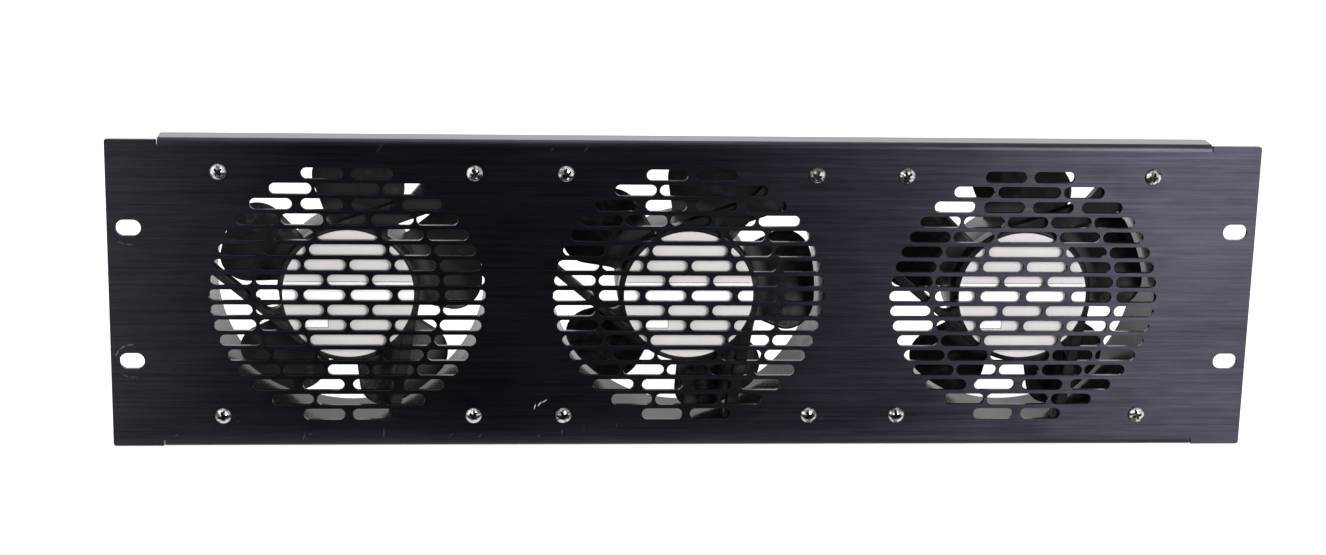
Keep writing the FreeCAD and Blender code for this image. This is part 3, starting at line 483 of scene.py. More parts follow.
def label_finish():
    made, tree, shader = new_material("label_foil", {"Metallic": 0.05, "Specular IOR Level": 0.22})
    x, z = place_on_fan(tree)
    height, half_width, half_thick = LABEL_RULE
    rule = times(tree, between(tree, z, height - half_thick, height + half_thick),
                 between(tree, x, -half_width, half_width))
    across, up, half_x, half_z = LABEL_BOX
    inside, outside = (times(tree, between(tree, x, across - half_x - grow, across + half_x + grow),
                             between(tree, z, up - half_z - grow, up + half_z + grow))
                       for grow in (0.0, LABEL_LINE))
    lines = math_node(tree, "MAXIMUM", rule, math_node(tree, "SUBTRACT", outside, inside))
    worn = smooth_step(tree, noise(tree, 900.0), 0.30, 0.42)
    ink = times(tree, lines, times(tree, worn, 0.8))
    white = math_node(tree, "MAXIMUM", between(tree, z, *LABEL_BAND), inside)
    cloud = noise(tree, 55.0, 4.0, 0.6)
    foil = mix_colour(tree, cloud, *(grey(level, (1.03, 0.985, 0.97)) for level in (0.43, 0.54)))
    printed = mix_colour(tree, white, foil, grey(0.80))
    paint(tree, shader, mix_colour(tree, ink, printed, grey(0.03)), spread(tree, cloud, 0.50, 0.66))
    bump(tree, shader, noise(tree, 130.0, 2.0), 0.10, 0.35)
    return made


# %% Every finish by slot
FINISHES = {
    "panel_aluminium": ANODISED,
    "frame_casting": casting_finish(),
    "label_foil": label_finish(),
    # 0.6 sets the dust, and the painted light round the hubs and on the left fan's blades.
    "impeller_plastic": moulded_finish("impeller_plastic", 0.0045, (1, 1, 1.15), 0.22, 0.38,
                                       1500.0, 0.6, 0.14),
    "terminal_plastic": moulded_finish("terminal_plastic", 0.016, (1, 1, 1), 0.42, 0.55),
    "lead_sleeve": moulded_finish("lead_sleeve", 0.018, (1, 1, 1), 0.5, 0.62),
    # The screws' finish darkens the recess and the head's rim from the attribute: painted shade.
    "nickel_steel": metal_finish("bright_nickel_plate", 0.62, (1, 0.99, 0.98), 0.05, 0.14, stain=0.9,
                                 grime="grime", patch=420.0),
    "zinc_steel": metal_finish("zinc_plate", 0.60, (1, 1, 1.02), 0.28, 0.44),
    "bearing_steel": metal_finish("ground_steel", 0.62, (1, 1, 1.02), 0.16, 0.28, (1, 30, 1), 200.0),
    "terminal_metal": metal_finish("tinned_brass", 0.66, (1, 0.98, 0.92), 0.25, 0.4),
    "rotor_steel": metal_finish("phosphated_steel", 0.10, (1, 1, 1.04), 0.38, 0.52),
    "cage_metal": metal_finish("turned_cage", 0.42, (1, 1, 1.02), 0.26, 0.4, (1, 60, 1), 120.0),
    "spring_steel": metal_finish("oil_black_spring", 0.16, (1, 1, 1.05), 0.3, 0.42),
    "electrical_steel": striped_finish("stacked_laminations", 0.5, "Y", (grey(0.2), grey(0.42)),
                                       1.0, 0.42, 0.05),
    "copper_winding": striped_finish("enamelled_windings", 0.45, "Y",
                                     ((0.30, 0.09, 0.03, 1), (0.62, 0.22, 0.08, 1)), 0.85, 0.30, 0.12),
}
for entry in frame["record"]["subparts"]:
    shown = frame["nodes"][entry["node"]]
    shown.data.materials.clear()
    shown.data.materials.append(FINISHES[entry["material_slot"]])
print(len(FINISHES), "finishes on", len(frame["nodes"]), "nodes")

# %% [markdown]
# ## The punched sheet
# The tray's face is one sheet: a flat wall with three grilles, two bent flanges and two ears. Each grille is
# rows of round-ended slots inside a circle. Punching hundreds of holes with booleans is slow and leaves poor
# meshes, so the holes are drawn first and the sheet is filled in around them. One point stands for each hole
# and carries its end radius and half its straight length. Geometry Nodes turns the points into hole walls
# with a small chamfer at both faces, and fills the outline around their rims.

# %% Where the holes are
GRILLE_RADIUS = 57.6
ROW_PITCH = 6.5
SLOT_WIDTH = 4.8
SLOT_LENGTH = 17.3
SLOT_BRIDGE = 1.4
ROW_LAYOUTS = ("ssssss", "slsls", "ssssss", "sslss", "sslss", "sssss", "ssss", "sls", "ss")
SCREW_HOLE_RADIUS = 2.0


def row_slots(layout, half_width):
    """(centre, length) of each slot in a row: s keeps the punch's length, l takes up what is left."""
    width, gaps = 2 * half_width, len(layout) - 1
    whole, long_count = layout.count("s") * SLOT_LENGTH, layout.count("l")
    bridge = SLOT_BRIDGE if long_count else (width - whole) / gaps
    long_length = (width - whole - gaps * bridge) / long_count if long_count else 0.0
    slots, x = [], -half_width
    for kind in layout:
        length = SLOT_LENGTH if kind == "s" else long_length
        slots.append((x + length / 2, length))
        x += length + bridge
    return slots


def punched_holes():
    """(x, z, end radius, half straight length) of every hole in the sheet."""
    holes = []
    for fan in FAN_X:
        for row, layout in enumerate(ROW_LAYOUTS):
            z = row * ROW_PITCH
            half_width = math.sqrt(GRILLE_RADIUS ** 2 - (z + SLOT_WIDTH / 2) ** 2)
            for centre, length in row_slots(layout, half_width):
                for side in ((1, -1) if row else (1,)):
                    holes.append((fan + centre, side * z, SLOT_WIDTH / 2, (length - SLOT_WIDTH) / 2))
        holes += [(fan + sx * FAN_HOLES / 2, sz * FAN_HOLES / 2, SCREW_HOLE_RADIUS, 0.0)
                  for sx, sz in CORNERS]
    rack_x, rack_z, length, width = RACK_SLOT
    return holes + [(sx * rack_x, sz * rack_z, width / 2, (length - width) / 2) for sx, sz in CORNERS]


HOLES = punched_holes()
print(len(HOLES), "holes")

# %% The sheet's outline
HALF_LENGTH, HALF_HEIGHT, SHEET, BEND = 241.3, 66.3, 2.0, 0.8
EDGE_BREAK, BEVEL = 0.1, 0.18
FLANGE_HALF, FLANGE_REAR, FLANGE_CORNER = 220.0, 10.7, 1.5
EAR_HALF, EAR_CORNER, SLIT = 65.8, 1.0, 0.3
BEND_LINE = HALF_HEIGHT - SHEET - BEND
CORNER_STEPS, BEND_STEPS = 4, 8


def quarter(cx, cy, radius):
    """Points of a quarter circle, counter-clockwise from the first axis."""
    angles = [math.radians(90.0 * i / CORNER_STEPS) for i in range(CORNER_STEPS + 1)]
    return [(cx + radius * math.cos(a), cy + radius * math.sin(a)) for a in angles]


def sheet_outline():
    """The flat wall's outline, as (x, z) points, counter-clockwise."""
    tip = quarter(HALF_LENGTH - EAR_CORNER, EAR_HALF - EAR_CORNER, EAR_CORNER)
    upper = tip + [(FLANGE_HALF + SLIT, EAR_HALF), (FLANGE_HALF + SLIT, BEND_LINE), (FLANGE_HALF, BEND_LINE)]
    right = [(x, -z) for x, z in reversed(upper)] + upper
    return right + [(-x, -z) for x, z in right]


OUTLINE = sheet_outline()


# %% The tree that punches
HOLE_SIDES = 16


def punching_tree():
    tree, given, result = geometry_tree("punched sheet", Half_sheet=SHEET / 2 * MM,
                                        Edge_break=EDGE_BREAK * MM)

    def reader(name, kind="FLOAT"):
        return node(tree, "GeometryNodeInputNamedAttribute", {"Name": name},
                    data_type=kind).outputs["Attribute"]

    split = node(tree, "GeometryNodeSeparateGeometry", {"Geometry": given["Geometry"],
                                                        "Selection": reader("punch", "BOOLEAN")}).outputs
    place = shape(tree, "InputPosition")
    stored = shape(tree, "StoreNamedAttribute",
                   {"Geometry": split["Selection"], "Name": "centre", "Value": place},
                   data_type="FLOAT_VECTOR")
    half_step = math.pi / HOLE_SIDES
    unit_shape = {"Vertices": HOLE_SIDES, "Radius": 1.0 / math.cos(half_step)}

    def hole_rings(unit_rings):
        """The unit rings put on every point, and drawn out to that hole's size."""
        turned = shape(tree, "Transform", {"Geometry": unit_rings, "Rotation": (0.0, 0.0, half_step)})
        placed = shape(tree, "InstanceOnPoints", {"Points": stored, "Instance": turned})
        centre = reader("centre", "FLOAT_VECTOR")
        unit = axes(tree, vector_math(tree, "SUBTRACT", place, centre))
        rim = math_node(tree, "GREATER_THAN", math_node(tree, "ABSOLUTE", unit["Z"]), 0.25)
        chamfer = times(tree, rim, given["Edge_break"])
        radius = plus(tree, reader("radius"), chamfer)
        along = times(tree, math_node(tree, "SIGN", unit["X"]), reader("straight"))
        level = plus(tree, math_node(tree, "SUBTRACT", given["Half_sheet"], given["Edge_break"]), chamfer)
        offset = combined(tree, X=math_node(tree, "MULTIPLY_ADD", unit["X"], radius, along),
                          Y=times(tree, unit["Y"], radius),
                          Z=times(tree, math_node(tree, "SIGN", unit["Z"]), level))
        return shape(tree, "SetPosition", {"Geometry": shape(tree, "RealizeInstances", {"Geometry": placed}),
                                           "Position": vector_math(tree, "ADD", centre, offset)})

    walls = hole_rings(shape(tree, "MeshCylinder", {**unit_shape, "Side Segments": 3, "Depth": 1.0},
                             fill_type="NONE"))
    circle = shape(tree, "MeshCircle", unit_shape, fill_type="NONE")
    rims = hole_rings(shape(tree, "Transform", {"Geometry": circle, "Translation": (0.0, 0.0, 0.5)}))
    curves = [shape(tree, "MeshToCurve", {"Mesh": mesh}) for mesh in (rims, split["Inverted"])]
    filled = shape(tree, "FillCurve", {"Curve": shape(tree, "JoinGeometry", {"Geometry": curves})})
    levels = given["Half_sheet"], times(tree, given["Half_sheet"], -1.0)
    faces = [shape(tree, "Transform", {"Geometry": filled, "Translation": combined(tree, Z=z)})
             for z in levels]
    joined = shape(tree, "JoinGeometry", {"Geometry": [walls] + faces})
    deliver(tree, shape(tree, "MergeByDistance", {"Geometry": joined, "Distance": 0.004 * MM}),
            ANODISED, result)
    return tree


# %% Run it
def flat_wall():
    """The flat wall, punched: drawn in XY, then stood up so that its front looks along -Y."""
    points = [(x, z, 0.0) for x, z, *_ in OUTLINE + HOLES]
    ring = len(OUTLINE)
    wall = mesh_object("flat_wall", points, [], [(i, (i + 1) % ring) for i in range(ring)])
    for name, kind in (("punch", "BOOLEAN"), ("radius", "FLOAT"), ("straight", "FLOAT")):
        wall.data.attributes.new(name, kind, "POINT")
    for i, (x, z, radius, straight) in enumerate(HOLES, ring):
        wall.data.attributes["punch"].data[i].value = True
        wall.data.attributes["radius"].data[i].value = radius * MM
        wall.data.attributes["straight"].data[i].value = straight * MM
    run_tree(wall, punching_tree(), {"Half_sheet": SHEET / 2 * MM, "Edge_break": EDGE_BREAK * MM},
             "flat_wall")
    wall.data.transform(Matrix.Translation((0, -SHEET / 2 * MM, 0)) @ Matrix.Rotation(math.pi / 2, 4, "X"))
    return wall


WALL = flat_wall()
print("flat wall:", len(WALL.data.polygons), "faces")


# %% The bends, the flanges and the sheet's edges
def bent_flanges():
    """What the tree leaves open: both bends, both flanges, and the edge of the flat wall."""
    points, faces = [], []

    def face(corners):
        start = len(points)
        points.extend(corners)
        faces.append(tuple(range(start, start + len(corners))))

    steps = [math.radians(90.0 * i / BEND_STEPS) for i in range(BEND_STEPS + 1)]
    for side in (1, -1):
        outer, inner = ([(BEND - radius * math.cos(a), BEND_LINE + radius * math.sin(a)) for a in steps]
                        for radius in (BEND + SHEET, BEND))
        for line in (outer, inner):
            for (y0, z0), (y1, z1) in zip(line, line[1:]):
                face([(-FLANGE_HALF, y0, side * z0), (FLANGE_HALF, y0, side * z0),
                      (FLANGE_HALF, y1, side * z1), (-FLANGE_HALF, y1, side * z1)])
        for end in (-FLANGE_HALF, FLANGE_HALF):
            face([(end, y, side * z) for y, z in outer + inner[::-1]])
        plan = [(FLANGE_HALF, BEND)]
        plan += quarter(FLANGE_HALF - FLANGE_CORNER, FLANGE_REAR - FLANGE_CORNER, FLANGE_CORNER)
        plan += [(-x, y) for x, y in reversed(plan)]
        top, under = side * HALF_HEIGHT, side * (HALF_HEIGHT - SHEET)
        for z in (top, under):
            face([(x, y, z) for x, y in plan])
        for (x0, y0), (x1, y1) in zip(plan, plan[1:]):
            face([(x0, y0, top), (x1, y1, top), (x1, y1, under), (x0, y0, under)])
    for (x0, z0), (x1, z1) in zip(OUTLINE, OUTLINE[1:] + OUTLINE[:1]):
        if abs(x1 - x0) < 1.5 * FLANGE_HALF:
            face([(x0, -SHEET, z0), (x1, -SHEET, z1), (x1, 0.0, z1), (x0, 0.0, z0)])
    return mesh_object("flanges", points, faces)


def join_meshes(keep, other):
    work = bmesh.new()
    work.from_mesh(keep.data)
    work.from_mesh(other.data)
    work.to_mesh(keep.data)
    work.free()
    bpy.data.objects.remove(other)
    return keep


panel = join_meshes(WALL, bent_flanges())
open_edges = tidy_mesh(panel.data, 0.01)
soften = panel.modifiers.new("edge break", "BEVEL")
soften.width, soften.segments, soften.limit_method = BEVEL * MM, 2, "ANGLE"
soften.angle_limit = math.radians(60)
panel = applied(panel, "punched_front_panel")
tidy_mesh(panel.data, 0.002, 13)
flat = panel.modifiers.new("flat faces stay flat", "WEIGHTED_NORMAL")
flat.mode, flat.weight, flat.keep_sharp = "FACE_AREA", 100, True
panel = applied(panel)
panel.data.materials.clear()
panel.data.materials.append(ANODISED)
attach(panel, "tray")
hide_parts("front_panel")
print("panel:", len(panel.data.polygons), "faces, open edges", open_edges)

# %% [markdown]
# ## Screws, washers and nuts
# Twelve pan head screws hold the fans. Each has a cross recess and a rolled thread, a toothed washer behind
# the fan's flange, and a hexagon nut. One of each is modelled, and Geometry Nodes puts a copy at each corner
# of each fan, each turned by a random angle from a fixed seed, as a hand leaves them.

# %% One pan head screw
HEAD_RADIUS, HEAD_HEIGHT, HEAD_RIM = 3.45, 2.3, 0.8
RECESS_MOUTH, RECESS_FLOOR = (3.05, 0.62), (1.15, 0.30)  # half length and half width of the cross
RECESS_REACH = 2.7  # how far from the axis the painted shade of the recess reaches
THREAD_RADIUS, THREAD_DEPTH, THREAD_PITCH, SCREW_LENGTH, SCREW_POINT = 1.75, 0.38, 0.7, 12.7, 0.3


def pan_head():
    front = -SHEET
    rise = HEAD_HEIGHT - HEAD_RIM
    ball = (HEAD_RADIUS ** 2 + rise ** 2) / (2 * rise)
    profile = [(0.001, front + 0.01), (HEAD_RADIUS - 0.25, front + 0.01), (HEAD_RADIUS, front - 0.2),
               (HEAD_RADIUS, front - HEAD_RIM)]
    top = front - HEAD_HEIGHT + ball
    edge = math.asin(HEAD_RADIUS / ball)
    for i in range(1, 8):
        a = edge * (1 - i / 8)
        profile.append((ball * math.sin(a), top - ball * math.cos(a)))
    profile.append((0.001, front - HEAD_HEIGHT))
    points, faces = revolve(profile, 32)
    return mesh_object("pan_head", points, faces)


def cross_tool():
    """A tapered cross that cuts the recess."""
    def ring(arm, half, depth):
        corner = (half, arm), (half, half), (arm, half)
        turns = (1, 0), (0, 1), (-1, 0), (0, -1)
        return [(x * c + z * s, depth, z * c - x * s) for c, s in turns for x, z in corner]

    outer = ring(*RECESS_MOUTH, -SHEET - HEAD_HEIGHT - 0.3)
    inner = ring(*RECESS_FLOOR, -SHEET - 0.75)
    count = len(outer)
    faces = [tuple(range(count)), tuple(range(2 * count - 1, count - 1, -1))]
    faces += [(i, i + count, (i + 1) % count + count, (i + 1) % count) for i in range(count)]
    tool = mesh_object("cross_tool", outer + inner, faces)
    tidy_mesh(tool.data)
    return tool


def threaded_shank():
    """A helical thread: rows of root and crest that climb one pitch in each turn."""
    sides, root = 16, THREAD_RADIUS - THREAD_DEPTH
    start, end = -SHEET + 0.02, -SHEET + SCREW_LENGTH
    rows = 2 * int(SCREW_LENGTH / THREAD_PITCH) + 4
    points, faces = [], []
    for j in range(rows):
        for k in range(sides + 1):
            a = 2 * math.pi * k / sides
            y = start - THREAD_PITCH + THREAD_PITCH * (j / 2 + k / sides)
            radius = THREAD_RADIUS if j % 2 else root
            if y < start or y > end - SCREW_POINT:
                y, radius = min(max(y, start), end - SCREW_POINT), root
            points.append(polar(radius, a, y))
    for j in range(rows - 1):
        for k in range(sides):
            a = j * (sides + 1) + k
            faces.append((a, a + 1, a + sides + 2, a + sides + 1))
    last, tip = (rows - 1) * (sides + 1), len(points)
    points += [polar(root - SCREW_POINT, 2 * math.pi * k / sides, end) for k in range(sides)]
    for k in range(sides):
        n = (k + 1) % sides
        faces.append((last + k, last + n, tip + n, tip + k))
    faces += [tuple(range(sides)), tuple(range(tip, tip + sides))]
    return mesh_object("threaded_shank", points, faces)


def mark_painted_shade(mesh):
    """Painted shade: 1 in the recess, 0 on the dome, and rising to a half at the head's rim, where shadow
    falls.
    """
    grime = mesh.attributes.new("grime", "FLOAT", "POINT")
    for i, vertex in enumerate(mesh.vertices):
        radius, depth = math.hypot(vertex.co.x, vertex.co.z) / MM, vertex.co.y / MM
        in_recess = radius < RECESS_REACH and -SHEET - 0.8 < depth < -SHEET - 0.1
        rim = min(max((radius - RECESS_REACH) / 0.7, 0.0), 1.0) if depth < 0 else 0.0
        grime.data[i].value = 1.0 if in_recess else 0.5 * rim


head = pan_head()
tidy_mesh(head.data)
screw = boolean(head, cross_tool(), "DIFFERENCE")
screw = join_meshes(screw, threaded_shank())
print("screw: open edges", tidy_mesh(screw.data, 0.003, 30))
# Painted shade: the recess and the head's rim are marked to go dark.
mark_painted_shade(screw.data)


# %% One toothed washer and one nut
WASHER_RADIUS, WASHER_THICKNESS, FAN_FLANGE = 4.6, 0.6, 5.0
NUT_FLATS, NUT_THICKNESS = 7.9, 2.8


def toothed_washer():
    """A ring with twisted teeth round its rim."""
    teeth, inner, body = 10, THREAD_RADIUS + 0.12, 3.2
    count = teeth * 4
    middle = FAN_FLANGE + WASHER_THICKNESS / 2
    points, faces = [], []
    for i in range(count):
        a = 2 * math.pi * i / count
        place = i % 4
        out = WASHER_RADIUS - 0.04 if place in (1, 2) else body
        twist = {1: -0.12, 2: 0.12}.get(place, 0.0)
        for side in (-1, 1):
            for radius, lean in ((inner, 0.0), (body - 0.1, 0.0), (out, twist)):
                points.append(polar(radius, a, middle + side * 0.16 + lean))
    loop = (0, 1, 2, 5, 4, 3)
    for i in range(count):
        j = (i + 1) % count
        for a, b in zip(loop, loop[1:] + loop[:1]):
            faces.append((i * 6 + a, i * 6 + b, j * 6 + b, j * 6 + a))
    made = mesh_object("toothed_washer", points, faces)
    print("washer: open edges", tidy_mesh(made.data, 0.003, 25))
    return made


def hexagon_nut():
    """A hexagon prism whose corners are turned off at both ends, with a chamfered bore."""
    front = FAN_FLANGE + WASHER_THICKNESS
    rear = front + NUT_THICKNESS
    across, bore, cone = NUT_FLATS / 2, THREAD_RADIUS + 0.03, NUT_FLATS / math.sqrt(3)
    body = mesh_object("hexagon_nut", *revolve([(cone, front), (cone, rear), (bore + 0.3, rear),
                                                (bore, rear - 0.3), (bore, front + 0.3),
                                                (bore + 0.3, front)], 6))
    tidy_mesh(body.data)
    ends = across * 0.97 - 0.18
    outline = [(0.001, front - 0.1), (ends, front - 0.1), (cone + 0.1, front + 0.45),
               (cone + 0.1, rear - 0.45), (ends, rear + 0.1), (0.001, rear + 0.1)]
    lens = mesh_object("corner_lens", *revolve(outline, 36))
    tidy_mesh(lens.data)
    body = boolean(body, lens, "INTERSECT")
    print("nut: open edges", tidy_mesh(body.data, 0.003, 25))
    return body


washer, nut = toothed_washer(), hexagon_nut()


# %% The tree that sets them out
ANY_TURN = 6.28  # each copy is turned by something from 0 to this


def fastener_tree(piece, finish, seed):
    tree, given, result = geometry_tree("set out " + piece.name, Turn=ANY_TURN, Piece=piece)
    angle = node(tree, "FunctionNodeRandomValue", {"Seed": seed, 2: 0.0, 3: given["Turn"]}, data_type="FLOAT")
    deliver(tree, copies(tree, given["Geometry"], given["Piece"], angle.outputs[1]), finish, result)
    return tree


def set_out(piece, name, cad_node, slot, seed):
    corners = [(x + sx * FAN_HOLES / 2, 0.0, sz * FAN_HOLES / 2) for x in FAN_X for sx, sz in CORNERS]
    tree = fastener_tree(piece, FINISHES[slot], seed)
    made = run_tree(mesh_object(name, corners, []), tree, {"Turn": ANY_TURN, "Piece": piece}, name)
    bpy.data.objects.remove(piece)
    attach(made, "tray")
    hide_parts(cad_node)
    print(name, len(made.data.polygons), "faces")


set_out(screw, "cross_head_screws", "fan_screws", "nickel_steel", 4)
set_out(washer, "toothed_lock_washers", "lock_washers", "zinc_steel", 9)
set_out(nut, "hexagon_nuts", "hex_nuts", "zinc_steel", 5)

# %% [markdown]
# ## The impellers
# Each impeller is a ring moulded over the steel rotor cup, with five broad blades. A blade follows a rule: it
# climbs along the axis in step with the angle round it, like a short piece of screw thread, and bows a
# little. So it is built from that rule as a smooth grid with rounded edges and a fillet at its root, and
# Geometry Nodes repeats it.

# %% One blade
RING_RADIUS, CUP_RADIUS, RING_FRONT, RING_REAR, CUP_REAR, LIP_WIDTH = 29.6, 28.2, 10.0, 37.2, 36.2, 4.5
CLEAR_OF_HUB = 30.6  # the least radius of a blade's root in front of the ring
BLADE_TIP, BLADE_MIDDLE, BLADE_PITCH, BLADE_CAMBER = 56.1, 20.6, 22.0, 1.6
BLADE_HALF_SPAN, BLADE_SPARE, BLADE_CORNER = math.radians(25.6), math.radians(2.0), 11.5
BLADE_ROOT = CUP_RADIUS + 0.7
BLADE_THICK_ROOT, BLADE_THICK_TIP = 2.2, 1.5
ROOT_FILLET, FILLET_REACH = 1.5, 2.2
EDGE_ROUNDING = (0.45, 0.85, 1.0)  # the share of the thickness at the blade's rim, next to it, and inside
BLADE_COUNT = 5
REST_TURNS = (13.4, 2.2, 16.2)  # how far round each rotor stands, in degrees


def blade_reach(radius):
    """Half the blade's angle at a distance from the axis: straight sides, then a corner of one radius."""
    middle = BLADE_TIP - BLADE_CORNER
    if radius ** 2 < middle ** 2 - BLADE_CORNER ** 2:
        return BLADE_HALF_SPAN
    cosine = (radius ** 2 + middle ** 2 - BLADE_CORNER ** 2) / (2 * radius * middle)
    return BLADE_HALF_SPAN - math.asin(BLADE_CORNER / middle) + math.acos(min(cosine, 1.0))


def blade_point(radius, turn):
    """A point of the blade's middle surface: it climbs with the angle, and bows towards the rear."""
    s = 0.5 + turn / (2 * (BLADE_HALF_SPAN + BLADE_SPARE))
    depth = BLADE_MIDDLE + BLADE_PITCH * turn + BLADE_CAMBER * 4 * s * (1 - s)
    return Vector(polar(radius, turn, depth))


def clear_of_hub(point):
    """The root's front end stays outside the fixed hub, which ends just in front of the ring."""
    radius = math.hypot(point.x, point.z)
    if point.y < RING_FRONT + 0.1 and radius < CLEAR_OF_HUB:
        return Vector((point.x * CLEAR_OF_HUB / radius, point.y, point.z * CLEAR_OF_HUB / radius))
    return point


def blade():
    """A grid over the blade's middle surface, pushed out to both sides and closed round its rim."""
    rows, columns = 26, 20
    fore, aft = [], []
    for j in range(rows + 1):
        radius = BLADE_ROOT + (BLADE_TIP - BLADE_ROOT) * math.sin(math.pi / 2 * j / rows)
        share = (radius - BLADE_ROOT) / (BLADE_TIP - BLADE_ROOT)
        thick = BLADE_THICK_ROOT + (BLADE_THICK_TIP - BLADE_THICK_ROOT) * share
        fillet = ROOT_FILLET * max(0.0, 1 - (radius - RING_RADIUS) / FILLET_REACH) ** 2
        for i in range(columns + 1):
            turn = -blade_reach(radius) * math.cos(math.pi * i / columns)
            here = blade_point(radius, turn)
            round_axis = blade_point(radius, turn + 0.002) - here
            outwards = blade_point(radius + 0.1, turn) - here
            normal = round_axis.cross(outwards).normalized()
            edge = EDGE_ROUNDING[min(i, columns - i, rows - j, 2)]
            room = min(max((here.y - RING_FRONT - 2.0) / 3.0, 0.0), 1.0)
            half = thick / 2 * edge + fillet * room
            fore.append(clear_of_hub(here + normal * half))
            aft.append(clear_of_hub(here - normal * half))
    count, wide, faces = len(fore), columns + 1, []
    for j in range(rows):
        for i in range(columns):
            a = j * wide + i
            faces.append((a, a + 1, a + wide + 1, a + wide))
            faces.append((count + a, count + a + wide, count + a + wide + 1, count + a + 1))
    rim = list(range(wide)) + [j * wide + columns for j in range(1, rows + 1)]
    rim += [rows * wide + i for i in range(columns - 1, -1, -1)] + [j * wide for j in range(rows - 1, 0, -1)]
    for a, b in zip(rim, rim[1:] + rim[:1]):
        faces.append((a, b, count + b, count + a))
    made = mesh_object("blade", fore + aft, faces)
    print("blade: open edges", tidy_mesh(made.data, 0.003, 60))
    return made


def moulded_ring():
    """The ring round the rotor cup, with its lip over the cup's rear edge."""
    r = 0.5
    profile = [(CUP_RADIUS + 0.02, RING_FRONT + 0.02), (RING_RADIUS - r, RING_FRONT),
               (RING_RADIUS - 0.12, RING_FRONT + 0.15), (RING_RADIUS, RING_FRONT + r),
               (RING_RADIUS, RING_REAR - r), (RING_RADIUS - 0.15, RING_REAR - 0.15),
               (RING_RADIUS - r, RING_REAR),
               (CUP_RADIUS - LIP_WIDTH + 0.3, RING_REAR),
               (CUP_RADIUS - LIP_WIDTH, RING_REAR - 0.3), (CUP_RADIUS - LIP_WIDTH, CUP_REAR + 0.02),
               (CUP_RADIUS - 0.5, CUP_REAR + 0.02), (CUP_RADIUS + 0.02, CUP_REAR - 0.5)]
    made = mesh_object("moulded_ring", *revolve(profile, 96))
    tidy_mesh(made.data, 0.003, 40)
    return made


# %% The tree that repeats the blade
def impeller_tree(blade_piece, finish):
    tree, given, result = geometry_tree("impeller", Count=BLADE_COUNT, Turn=0.0, Blade=blade_piece)
    spots = shape(tree, "Points", {"Count": given["Count"]})
    step = math_node(tree, "DIVIDE", -2 * math.pi, given["Count"])
    angle = math_node(tree, "MULTIPLY_ADD", shape(tree, "InputIndex"), step, given["Turn"])
    blades = copies(tree, spots, given["Blade"], angle)
    deliver(tree, shape(tree, "JoinGeometry", {"Geometry": [given["Geometry"], blades]}), finish, result)
    return tree


blade_piece, ring_piece = blade(), moulded_ring()
blade_repeat = impeller_tree(blade_piece, FINISHES["impeller_plastic"])
for number, (x, turn) in enumerate(zip(FAN_X, REST_TURNS), 1):
    name = f"fan_{number}_bladed_impeller"
    inputs = {"Count": BLADE_COUNT, "Turn": -math.radians(turn), "Blade": blade_piece}
    made = run_tree(new_object(name, ring_piece.data.copy()), blade_repeat, inputs, name)
    made.data.transform(Matrix.Translation((x * MM, 0, 0)))
    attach(made, f"fan_{number}_rotor")
    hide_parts(f"fan_{number}_impeller")
    print(name, len(made.data.polygons), "faces")
for spare in (blade_piece, ring_piece):
    bpy.data.objects.remove(spare)

# %% [markdown]
# ## Studio
# The tray stands on its lower flange on a white floor, in plain light from five soft boxes. The brushed face
# shows what lies before it: a soft box off to its right as a lighter zone, and a dark board as its dark
# middle. To the camera and in gloss the world and the floor look whiter than the light they throw on the
# tray.


# %% Floor and world
def white_to_eyes(tree):
    """1 for rays from the camera, from gloss and through glass, 0 for the rest."""
    rays = node(tree, "ShaderNodeLightPath").outputs
    seen = plus(tree, rays["Is Camera Ray"], rays["Is Glossy Ray"])
    seen = node(tree, "ShaderNodeMath", {0: seen, 1: rays["Is Transmission Ray"]}, operation="ADD",
                use_clamp=True)
    return seen.outputs[0]


FLOOR_Z, FLOOR_REACH, FLOOR_WHITE = CAD_BOX[0][2], 4000, 0.62
corners = [(sx * FLOOR_REACH, sy * FLOOR_REACH, FLOOR_Z / MM)
           for sx, sy in ((-1, -1), (1, -1), (1, 1), (-1, 1))]
floor = mesh_object("floor", corners, [(0, 1, 2, 3)])
paper = bpy.data.materials.new("white_floor")
tree = cleared_tree(paper)
matte = node(tree, "ShaderNodeBsdfDiffuse", {"Color": grey(FLOOR_WHITE)}).outputs[0]
seen_white = times(tree, white_to_eyes(tree), FLOOR_WHITE)
glow = node(tree, "ShaderNodeEmission", {"Color": grey(1.0), "Strength": seen_white}).outputs[0]
both = node(tree, "ShaderNodeAddShader", {0: matte, 1: glow}).outputs[0]
node(tree, "ShaderNodeOutputMaterial", {"Surface": both})
floor.data.materials.append(paper)

world = bpy.data.worlds.new("studio")
tree = cleared_tree(world)
level = spread(tree, white_to_eyes(tree), 0.55, 1.0)
sky = node(tree, "ShaderNodeBackground", {"Color": grey(1.0), "Strength": level}).outputs[0]
node(tree, "ShaderNodeOutputWorld", {"Surface": sky})
bpy.context.scene.world = world


# %% Lamps
def soft_box(name, place, aim, width, height, watts, tint=(1.0, 1.0, 1.0)):
    lamp = bpy.data.lights.new(name, "AREA")
    lamp.shape, lamp.size, lamp.size_y, lamp.energy, lamp.color = "RECTANGLE", width, height, watts, tint
    made = new_object(name, lamp)
    made.location = place
    made.rotation_euler = (Vector(aim) - Vector(place)).to_track_quat("-Z", "Y").to_euler()


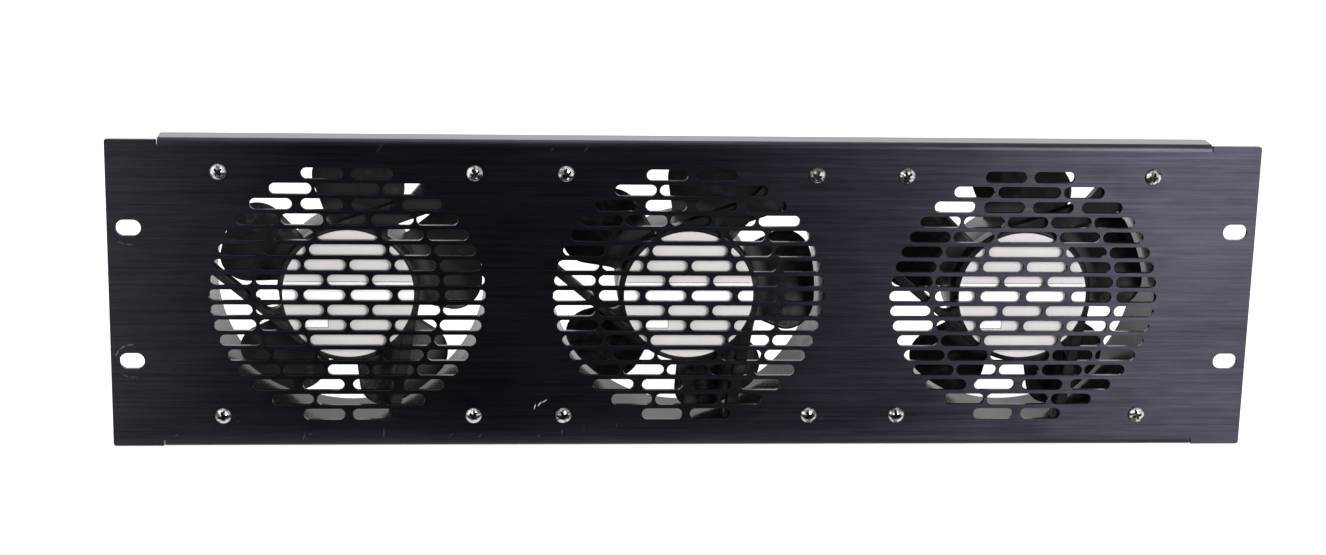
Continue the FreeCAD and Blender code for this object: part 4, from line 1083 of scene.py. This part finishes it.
soft_box("overhead_box", (-0.2, 0.1, 1.6), (-0.1, 0, 0), 1.6, 1.0, 12.0)
soft_box("right_box", (0.69, -1.6, 0.60), (0.35, 0, 0.60), 0.38, 1.3, 36.0)
soft_box("left_box", (-0.56, -1.6, 0.60), (-0.3, 0, 0.60), 0.22, 1.3, 3.0)
soft_box("back_box", (0.0, 1.3, 0.55), (0, 0, 0.05), 1.8, 0.7, 5.0, (1.0, 0.96, 0.98))
soft_box("left_fill", (-1.5, -1.0, 0.7), (0, 0, 0), 1.0, 1.0, 5.0)


# %% The dark board
def dark_board():
    """A black cloth behind the camera and along the floor. Only gloss sees it, so the floor stays white."""
    near, far, left, right = -0.012, -1.65, (-0.28, -0.48), (0.16, 0.48)
    low, high = FLOOR_Z + 0.001, 2.0
    points = [(left[0], near, low), (right[0], near, low), (right[1], far, low), (left[1], far, low),
              (right[1], far, high), (left[1], far, high)]
    return mesh_object("dark_board", [tuple(c / MM for c in p) for p in points], [(0, 1, 2, 3), (3, 2, 4, 5)])


cloth = bpy.data.materials.new("black_cloth")
tree = cleared_tree(cloth)
parts = axes(tree, object_place(tree))
LEFT_SLOPE = 0.122  # how far the board's left edge runs outwards on its way to the camera
from_left = math_node(tree, "SUBTRACT", parts["X"], times(tree, parts["Y"], LEFT_SLOPE))
solid = smooth_step(tree, from_left, -0.275, -0.165)
black = node(tree, "ShaderNodeBsdfDiffuse", {"Color": grey(0.05, (1, 1, 1.6))}).outputs[0]
clear = node(tree, "ShaderNodeBsdfTransparent").outputs[0]
faded = node(tree, "ShaderNodeMixShader", {0: solid, 1: clear, 2: black}).outputs[0]
node(tree, "ShaderNodeOutputMaterial", {"Surface": faded})
board = dark_board()
board.data.materials.append(cloth)
board.visible_camera = board.visible_diffuse = board.visible_shadow = False

# %% Camera
CAMERA_PLACE = Vector((-0.0948, -1.0389, 0.2810))
RIGHT = Vector((0.99698, -0.07439, 0.02253))
UP = Vector((-0.00285, 0.25472, 0.96701))
camera_data = bpy.data.cameras.new("camera")
camera_data.lens, camera_data.sensor_width = 69.48, 36.0
camera = new_object("camera", camera_data)
back = RIGHT.cross(UP).normalized()
turn = Matrix((RIGHT.normalized(), back.cross(RIGHT).normalized(), back)).transposed()
camera.matrix_world = Matrix.Translation(CAMERA_PLACE) @ turn.to_4x4()
bpy.context.scene.camera = camera
bpy.context.scene.view_settings.view_transform = "Standard"
